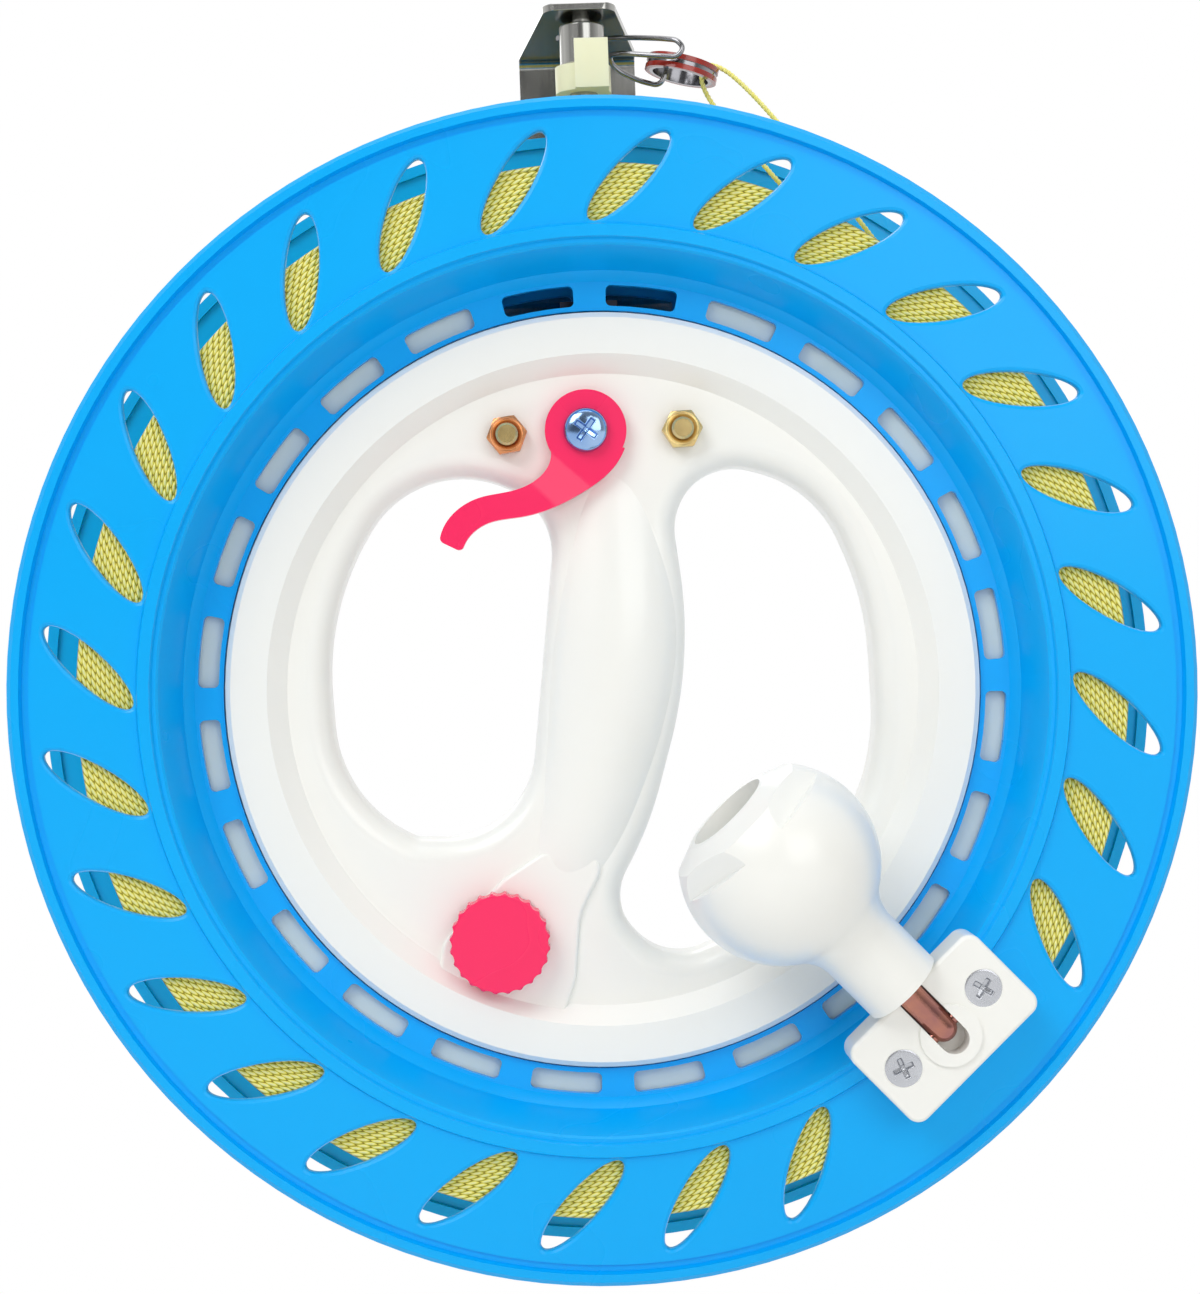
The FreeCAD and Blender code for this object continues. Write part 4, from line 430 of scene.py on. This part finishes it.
def line_finish(name, from_uv):
    """Yellow fibre. With a UV map it has plies: their height is a zigzag along the slanted
    twist times the root of a half sine across the turn. The height bumps the surface, and the
    colour follows it: painted shade where it is low, between the plies and the turns, and a
    painted highlight where it is high."""
    material, tree, shader = finish(name, LINE_PALE_AND_HIGHLIGHT, 0.5, Sheen_Weight=0.3, Sheen_Roughness=0.4)
    if not from_uv:
        wander_colour(tree, shader, object_noise(tree, scale=900.0, detail=4.0),
                      LINE_MID, LINE_PALE_AND_HIGHLIGHT)
        fibres = object_noise(tree, scale=2500.0, detail=4.0)
        add_bump(tree, shader, fibres.outputs["Fac"], distance=0.00005)
        return material
    place = node(tree, "ShaderNodeUVMap", uv_map="UVMap")
    split = node(tree, "ShaderNodeSeparateXYZ")
    tree.links.new(place.outputs[0], split.inputs[0])
    along, turns = split.outputs["X"], split.outputs["Y"]
    across = math_step(tree, "FRACT", turns)
    own_start = math_step(tree, "MULTIPLY", math_step(tree, "FLOOR", turns), TURN_START)
    slanted = math_step(tree, "MULTIPLY_ADD", across, PLY_SLANT, along)
    zigzag = math_step(tree, "PINGPONG", math_step(tree, "ADD", slanted, own_start), 0.5)
    half_sine = math_step(tree, "SINE", math_step(tree, "MULTIPLY", across, math.pi))
    height = math_step(tree, "MULTIPLY", zigzag, math_step(tree, "POWER", half_sine, 0.5))
    # The colour follows the ply height: painted shade in the grooves, mid yellow on the flanks and a
    # painted highlight on the crests.
    ramp = node(tree, "ShaderNodeValToRGB")
    stops = ramp.color_ramp.elements
    stops[0].position, stops[0].color = PAINTED_SHADE_AT, LINE_PAINTED_SHADE
    stops[1].position, stops[1].color = PAINTED_HIGHLIGHT_AT, LINE_PALE_AND_HIGHLIGHT
    stops.new(MID_AT).color = LINE_MID
    tree.links.new(height, ramp.inputs["Fac"])
    tree.links.new(ramp.outputs["Color"], shader.inputs["Base Color"])
    add_bump(tree, shader, height, distance=PLY_RELIEF)
    return material


TURNS = line_finish("wound line", from_uv=True)
FREE = line_finish("free line", from_uv=False)
print("line:", TURNS.name, "and", FREE.name)

# %% [markdown]
# ## The free line
# It leaves the winding, goes up through the ring, over its rim and back down to the winding.
# Its middle line is a smooth spline, whose control points are the route's own. The three plies
# are tubes that wind round that line: each follows a small circle that turns as it advances.

# %% Free line
LINE_ROUTE = [(54.8, -1.2, 104.3), (49.2, -1.0, 108.3), (44.8, -0.8, 113.0), (38.6, 0.4, 121.0),
              (33.0, 1.6, 128.4), (29.2, 2.6, 133.8), (27.5, 3.3, 138.6), (28.8, 3.6, 142.3),
              (33.1, 3.6, 140.9), (37.3, 3.0, 136.9), (41.6, 2.2, 131.9), (47.6, 1.2, 124.2),
              (55.2, 0.2, 114.4), (62.8, -0.8, 103.8), (67.2, -1.2, 97.4), (72.2, -1.2, 93.2)]
LINE_DIAMETER = 1.15 * MM
PLY_PITCH = 3.2 * MM
PLY_OFFSET, PLY_RADIUS = 0.232 * LINE_DIAMETER, 0.268 * LINE_DIAMETER
STEPS_PER_TWIST = 10


def smooth_route(name, route):
    """The points, in metres, of a quadratic spline. Its control points are the route, in mm."""
    curve = bpy.data.curves.new(name, "CURVE")
    curve.dimensions = "3D"
    spline = curve.splines.new("NURBS")
    spline.points.add(len(route) - 1)
    for point, (x, y, z) in zip(spline.points, route):
        point.co = (x * MM, y * MM, z * MM, 1.0)
    spline.order_u = 3
    spline.use_endpoint_u = True
    spline.resolution_u = 24
    holder = bpy.data.objects.new(name, curve)
    scene.collection.objects.link(holder)
    mesh = bpy.data.meshes.new_from_object(holder)
    points = np.empty(len(mesh.vertices) * 3)
    mesh.vertices.foreach_get("co", points)
    bpy.data.objects.remove(holder)
    bpy.data.curves.remove(curve)
    bpy.data.meshes.remove(mesh)
    return points.reshape(-1, 3)


def even_path(points, step):
    """The same line with points a step apart, and each point's length from the start: the
    positions are read off at equal lengths."""
    length = np.concatenate([[0], np.cumsum(np.linalg.norm(np.diff(points, axis=0), axis=1))])
    places = np.linspace(0, length[-1], max(2, int(length[-1] / step)))
    return np.stack([np.interp(places, length, points[:, k]) for k in range(3)], axis=1), places


def side_vectors(path):
    """Two directions square to the path at each point, from a fixed sideways direction."""
    along = np.gradient(path, axis=0)
    along /= np.linalg.norm(along, axis=1, keepdims=True)
    first = np.cross(along, (0.0, 1.0, 0.0))
    first /= np.linalg.norm(first, axis=1, keepdims=True)
    return first, np.cross(along, first)


def ply(path, places, start, sides=8):
    """One ply: a tube whose centre circles the path once for each pitch of length."""
    first, second = side_vectors(path)
    swing = (start + 2 * np.pi * places / PLY_PITCH)[:, None]
    centre = path + PLY_OFFSET * (np.cos(swing) * first + np.sin(swing) * second)
    around = np.linspace(0, 2 * np.pi, sides, endpoint=False)[None, :, None]
    ring = np.cos(around) * first[:, None, :] + np.sin(around) * second[:, None, :]
    body = centre[:, None, :] + PLY_RADIUS * ring
    ends = [np.repeat(centre[k][None, None, :], sides, axis=1) for k in (0, -1)]
    return grid_mesh("ply", np.concatenate([ends[0], body, ends[1]]), wrap_columns=True)


route_points = smooth_route("route", LINE_ROUTE)
line_path, line_places = even_path(route_points, PLY_PITCH / STEPS_PER_TWIST)
plies = [ply(line_path, line_places, 2 * np.pi * k / 3) for k in range(3)]
free_line = add_piece("twisted_line", plies, "snap", weld=1e-7)
free_line.data.materials.append(FREE)
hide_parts("free_line")
print("free line", round(line_places[-1] / MM, 1), "mm long")

# %% [markdown]
# ## The winding
# The line fills the groove between the flanges. Seen through the slots it is a wall of turns,
# one above the other, and from outside it is a slightly crowned drum. Its section is traced
# once: up one side, across the crown and down the other, with a half-round ridge for each
# turn. Carried round the wheel's axis this gives every turn, and slow waves along the way keep
# the turns from looking machined.

# %% Winding
# In mm: the radius of the drum and of the full winding, the crown's height, half the width of
# the groove, and from turn to turn.
CORE_R, PACK_R, CROWN = 100.3, 116.2, 1.0
HALF_WIDTH, TURN_PITCH = 21.5, 1.1
RIDGE = 0.55                           # how far the section sinks between turns
RIPPLE, SLIDE = 0.08, 0.22             # a turn's waves, outward and along the wall
SHIFT_LONG, SHIFT_SHORT, SHIFT_SLIDE = 2.4, 4.1, 0.35    # radians, from each turn to the next
TWISTS = 380                           # in one turn
ROUND_STEPS, RIDGE_STEPS = 200, 4


def winding_section():
    """Radius, depth, turn count and outward direction, along the radius and along Y, at each
    point of the section's outline. The crown falls by the square of the distance from the
    middle."""
    side = int(round((PACK_R - CROWN - CORE_R) / TURN_PITCH))
    across = int(round(2 * HALF_WIDTH / TURN_PITCH))
    s = np.arange(side * RIDGE_STEPS + 1) / RIDGE_STEPS
    w = np.arange(across * RIDGE_STEPS + 1) / RIDGE_STEPS
    up_r = CORE_R + s * TURN_PITCH
    over_y = -HALF_WIDTH + w * (2 * HALF_WIDTH / across)
    crown_r = PACK_R - CROWN * (over_y / HALF_WIDTH) ** 2
    radius = np.concatenate([up_r, crown_r[1:-1], up_r[::-1]])
    depth = np.concatenate([np.full(len(s), -HALF_WIDTH), over_y[1:-1], np.full(len(s), HALF_WIDTH)])
    ridge = np.concatenate([s, w[1:-1], s[::-1]])
    out_r = np.concatenate([np.zeros(len(s)), np.ones(len(w) - 2), np.zeros(len(s))])
    out_y = np.concatenate([np.full(len(s), -1.0), np.zeros(len(w) - 2), np.full(len(s), 1.0)])
    return radius, depth, ridge, out_r, out_y


def winding_points():
    """Carry the section round the axis. Between turns it sinks by one minus the size of a sine
    with a half wave for each turn. Each turn wanders too: two slow sines outward, and one
    along the wall."""
    radius, depth, ridge, out_r, out_y = winding_section()
    angle = np.linspace(0, 2 * np.pi, ROUND_STEPS, endpoint=False)
    seed = np.floor(ridge)[:, None]
    wave = (np.sin(3 * angle[None, :] + seed * SHIFT_LONG)
            + np.sin(7 * angle[None, :] + seed * SHIFT_SHORT)) / 2
    sunk = RIDGE * (np.abs(np.sin(np.pi * ridge))[:, None] - 1.0)
    slide = SLIDE * np.sin(2 * angle[None, :] + SHIFT_SLIDE * seed)
    side, top = out_y[:, None], out_r[:, None]
    r = radius[:, None] + top * (sunk + RIPPLE * wave) + np.abs(side) * slide
    y = depth[:, None] + side * (sunk + RIPPLE * (wave - 1)) + top * slide * 0.5
    points = np.stack([r * np.cos(angle), y, r * np.sin(angle)], axis=-1) * MM
    twist = np.broadcast_to(angle[None, :] / (2 * np.pi) * TWISTS, r.shape)
    uv = np.stack([twist, np.broadcast_to(ridge[:, None], r.shape)], axis=-1)
    return points, uv


def seam_uv(points, uv):
    """Repeat the first column at the end, one full round of twists on, so that no face has to
    run its twists backwards where the circle closes."""
    points = np.concatenate([points, points[:, :1]], axis=1)
    last = uv[:, :1] + np.array([TWISTS, 0.0])
    return points, np.concatenate([uv, last], axis=1)


turn_points, turn_uv = seam_uv(*winding_points())
winding = add_piece("winding", [grid_mesh("winding", turn_points, wrap_rows=True, uv=turn_uv)],
                    "wheel", weld=1e-7)
winding.data.materials.append(TURNS)
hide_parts("wound_line")

# %% [markdown]
# ## Screw heads
# A recess shows what a screw is. A head is a dome over a disc, and the recess is a cross that
# is pressed into it: deep in the middle and shallower out along the four wings. The whole top
# is one height over a round grid, so the recess needs no cutting.

# %% Screws
ROUND_POINTS = 96                      # points round a screw head or a nut
WING_FLANK, WING_TIP = 0.18, 0.3       # mm over which a wing's flanks and its end rise
WING_FALL = 0.55                       # the share of its depth that a wing loses at its end
PAN_EDGE = 0.28                        # the straight edge's share of a pan head's height


def smooth_step(value):
    """Zero below 0, one above 1, and a smooth rise between."""
    t = np.clip(value, 0, 1)
    return t * t * (3 - 2 * t)


def cross_recess(across, along, reach, width, depth):
    """How deep the cross is pressed: each wing is full depth within its width and fades to
    about half of it at its end. The deeper wing counts."""
    def wing(a, b):
        """One wing and its opposite: a lies along them and b across."""
        flank = smooth_step((width / 2 - np.abs(b)) / WING_FLANK + 0.5)
        tip = smooth_step((reach - np.abs(a)) / WING_TIP)
        return flank * tip * (1 - WING_FALL * np.abs(a) / reach)
    return depth * np.maximum(wing(across, along), wing(along, across))


def turned_disc(share, radius, turn):
    """The angles round a head, and how far each grid point lies along the cross's two wings."""
    angle = np.linspace(0, 2 * np.pi, ROUND_POINTS, endpoint=False)[None, :]
    return angle, radius * share * np.cos(angle - turn), radius * share * np.sin(angle - turn)


def round_points(x, z, radius, depth, angle):
    """Points round (x, z) for each angle: radius and depth are in mm, depth towards the front."""
    across, up = radius * np.cos(angle), radius * np.sin(angle)
    return np.stack([x + across, -np.broadcast_to(depth, across.shape), z + up], axis=-1) * MM


def pan_head(x, z, seat, radius, height, reach, width, turn, rounding):
    """A screw head on a seat at a depth: a dome whose height falls as the root of one minus
    the distance to a power, then a straight edge down to the seat."""
    share = np.concatenate([np.linspace(0, 0.72, 22), np.linspace(0.75, 1.0, 9)])[:, None]
    angle, a, b = turned_disc(share, radius, turn)
    dome_height = height * (1 - PAN_EDGE)
    dome = (1 - share ** rounding) ** (1 / rounding) * dome_height + height * PAN_EDGE
    top = dome - cross_recess(a, b, reach, width, depth=dome_height)
    depth = seat + np.concatenate([top, np.zeros((1, ROUND_POINTS))])
    spread = np.concatenate([share, [[1.0]]]) * radius
    return grid_mesh("head", round_points(x, z, spread, depth, angle), wrap_columns=True)


def stem(x, z, radius, near, far):
    """A plain shank between two depths, closed at both ends."""
    angle = np.linspace(0, 2 * np.pi, 32, endpoint=False)[None, :]
    r = np.array([0.0, radius, radius, 0.0])[:, None]
    depth = np.array([near, near, far, far])[:, None]
    return grid_mesh("stem", round_points(x, z, r, depth, angle), wrap_columns=True)


PIVOT = (-2.0, 58.0)                   # X and Z of the lever's axis, in mm
LEVER_TOP = 11.8                       # the depth of the lever's face
lever_screw = add_piece("lever_screw_head", [
    pan_head(*PIVOT, seat=LEVER_TOP, radius=4.95, height=3.2, reach=2.9, width=1.15,
             turn=math.radians(52), rounding=2.4),
    stem(*PIVOT, radius=2.4, near=LEVER_TOP, far=LEVER_TOP - 9.0)], "lever")
lever_screw.data.materials.append(BLUE_ZINC)
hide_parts("lever_screw")

# %% [markdown]
# The crank's block is held by two countersunk screws. Their heads are flat and lie flush, so
# only a flat disc with a cross and a fine dark gap round it shows.

# %% Crank screws
CRANK_ANGLE, SCREW_R, SCREW_HALF_PITCH = math.radians(-47.1), 102.1, 12.15
BLOCK_TOP = 35.5
SUNK = 0.08                            # how far the heads lie below the block's face
RIM_ROUND, RECESS_DEPTH = 0.12, 1.7    # the fall of the head's round rim; the cross's depth
SHANK_R, SCREW_LENGTH = 2.0, 19.0


def crank_place(out, side):
    """X and Z of a point given by its distance along the crank's radius and across it."""
    return (out * math.cos(CRANK_ANGLE) - side * math.sin(CRANK_ANGLE),
            out * math.sin(CRANK_ANGLE) + side * math.cos(CRANK_ANGLE))


def flat_head(x, z, top, radius, cone, reach, width, turn):
    """A countersunk head: flat with a cross recess, a small round at its rim, then a cone as
    high as it says and the shank."""
    share = np.concatenate([np.linspace(0, 0.8, 22), [0.88, 0.95, 0.985, 1.0]])[:, None]
    angle, a, b = turned_disc(share, radius, turn)
    fall = RIM_ROUND * np.clip((share - 0.9) / 0.1, 0, 1) ** 2
    face = top - fall - cross_recess(a, b, reach, width, RECESS_DEPTH)
    below = [np.full((1, ROUND_POINTS), top - drop) for drop in (cone, SCREW_LENGTH, SCREW_LENGTH)]
    spread = np.concatenate([share * radius, [[SHANK_R], [SHANK_R], [0.0]]])
    points = round_points(x, z, spread, np.concatenate([face, *below]), angle)
    return grid_mesh("flat head", points, wrap_columns=True)


heads = [flat_head(*crank_place(SCREW_R, side * SCREW_HALF_PITCH), top=BLOCK_TOP - SUNK,
                   radius=4.12, cone=2.4, reach=2.4, width=1.0, turn=math.radians(turn))
         for side, turn in ((-1, 24), (1, 58))]
crank_screws = add_piece("crank_screw_heads", heads, "wheel")
crank_screws.data.materials.append(GREY_ZINC)
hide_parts("crank_base_screws")

# %% [markdown]
# ## Nuts
# A hexagon nut has its corners turned off: its top is a flat disc inside a shallow cone that
# cuts the six corners in arcs. As a height over a six-sided grid this is one formula: the flat
# height, less the tangent of thirty degrees times how far a point lies outside the disc.

# %% Nuts
BOLT_X, BOLT_Z = 19.6, 57.6
NUT_SEAT, NUT_T, NUT_CORNER_R, NUT_BORE_R = 8.5, 4.0, 4.62, 2.45
NUT_COUNTERSINK = 0.75
CHAMFER_SLOPE, CHAMFER_START = 0.577, 0.94     # tangent of 30 degrees; share of the flats' distance
LATHE_RELIEF, LATHE_WAVE = 0.05, 0.84          # depth of the lathe's rings; twice their spacing
ROSE_ZINC = metal("rose zinc", linear(240, 180, 120), linear(196, 108, 74), 0.16, 0.28, 150.0,
                  bare=0.75)


def nut(x, z, turn, slot):
    """Rows run from the bore's bottom up, out over the top and down the six flats. Fine rings
    from the lathe ripple the top."""
    angle = np.linspace(0, 2 * np.pi, ROUND_POINTS, endpoint=False)
    wrapped = (angle - turn) % (np.pi / 3) - np.pi / 6
    flats = NUT_CORNER_R * math.cos(math.pi / 6)
    edge = flats / np.cos(wrapped)
    share = np.linspace(0, 1, 40)[:, None]
    mouth = NUT_BORE_R + NUT_COUNTERSINK
    r = mouth + share * (edge[None, :] - mouth)
    rings = LATHE_RELIEF * np.sin(2 * np.pi * r / LATHE_WAVE) ** 2
    top = NUT_T - rings - np.maximum(0, r - flats * CHAMFER_START) * CHAMFER_SLOPE
    bore, bottom = np.full((1, ROUND_POINTS), NUT_BORE_R), np.zeros((1, ROUND_POINTS))
    rows_r = np.concatenate([bore, bore, r, edge[None, :], bore])
    rows_d = np.concatenate([bottom, bottom + NUT_T - NUT_COUNTERSINK, top, bottom, bottom])
    points = round_points(x, z, rows_r, NUT_SEAT + rows_d, angle)
    mesh = grid_mesh("nut", points, wrap_columns=True)
    mesh.polygons.foreach_set("material_index", np.full(len(mesh.polygons), slot, dtype=np.int32))
    return mesh


nuts = add_piece("hexagon_nuts", [nut(-BOLT_X, BOLT_Z, math.radians(8), slot=0),
                                  nut(BOLT_X, BOLT_Z, math.radians(2), slot=1)], "hub")
nuts.data.materials.append(ROSE_ZINC)
nuts.data.materials.append(YELLOW_ZINC)
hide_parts("bracket_nuts")

# %% [markdown]
# ## The floor
# The winder is held in the hand, so nothing stands under it. A pale floor well below it keeps
# a soft shadow for views from above and is too low to show from the front.

# %% Floor
FLOOR_Z, FLOOR_HALF = -0.20, 6.0       # metres
sides = (-FLOOR_HALF, FLOOR_HALF)
corners = np.array([[(x, y, FLOOR_Z) for y in sides] for x in sides])
floor = bpy.data.objects.new("floor", grid_mesh("floor", corners))
scene.collection.objects.link(floor)
paint, tree, shader = finish("floor paint", (0.86, 0.86, 0.86, 1), 0.9)
surface = tree.nodes["Material Output"]
tree.links.new(white_for_lookers(tree, shader, "BSDF").outputs[0], surface.inputs["Surface"])
floor.data.materials.append(paint)
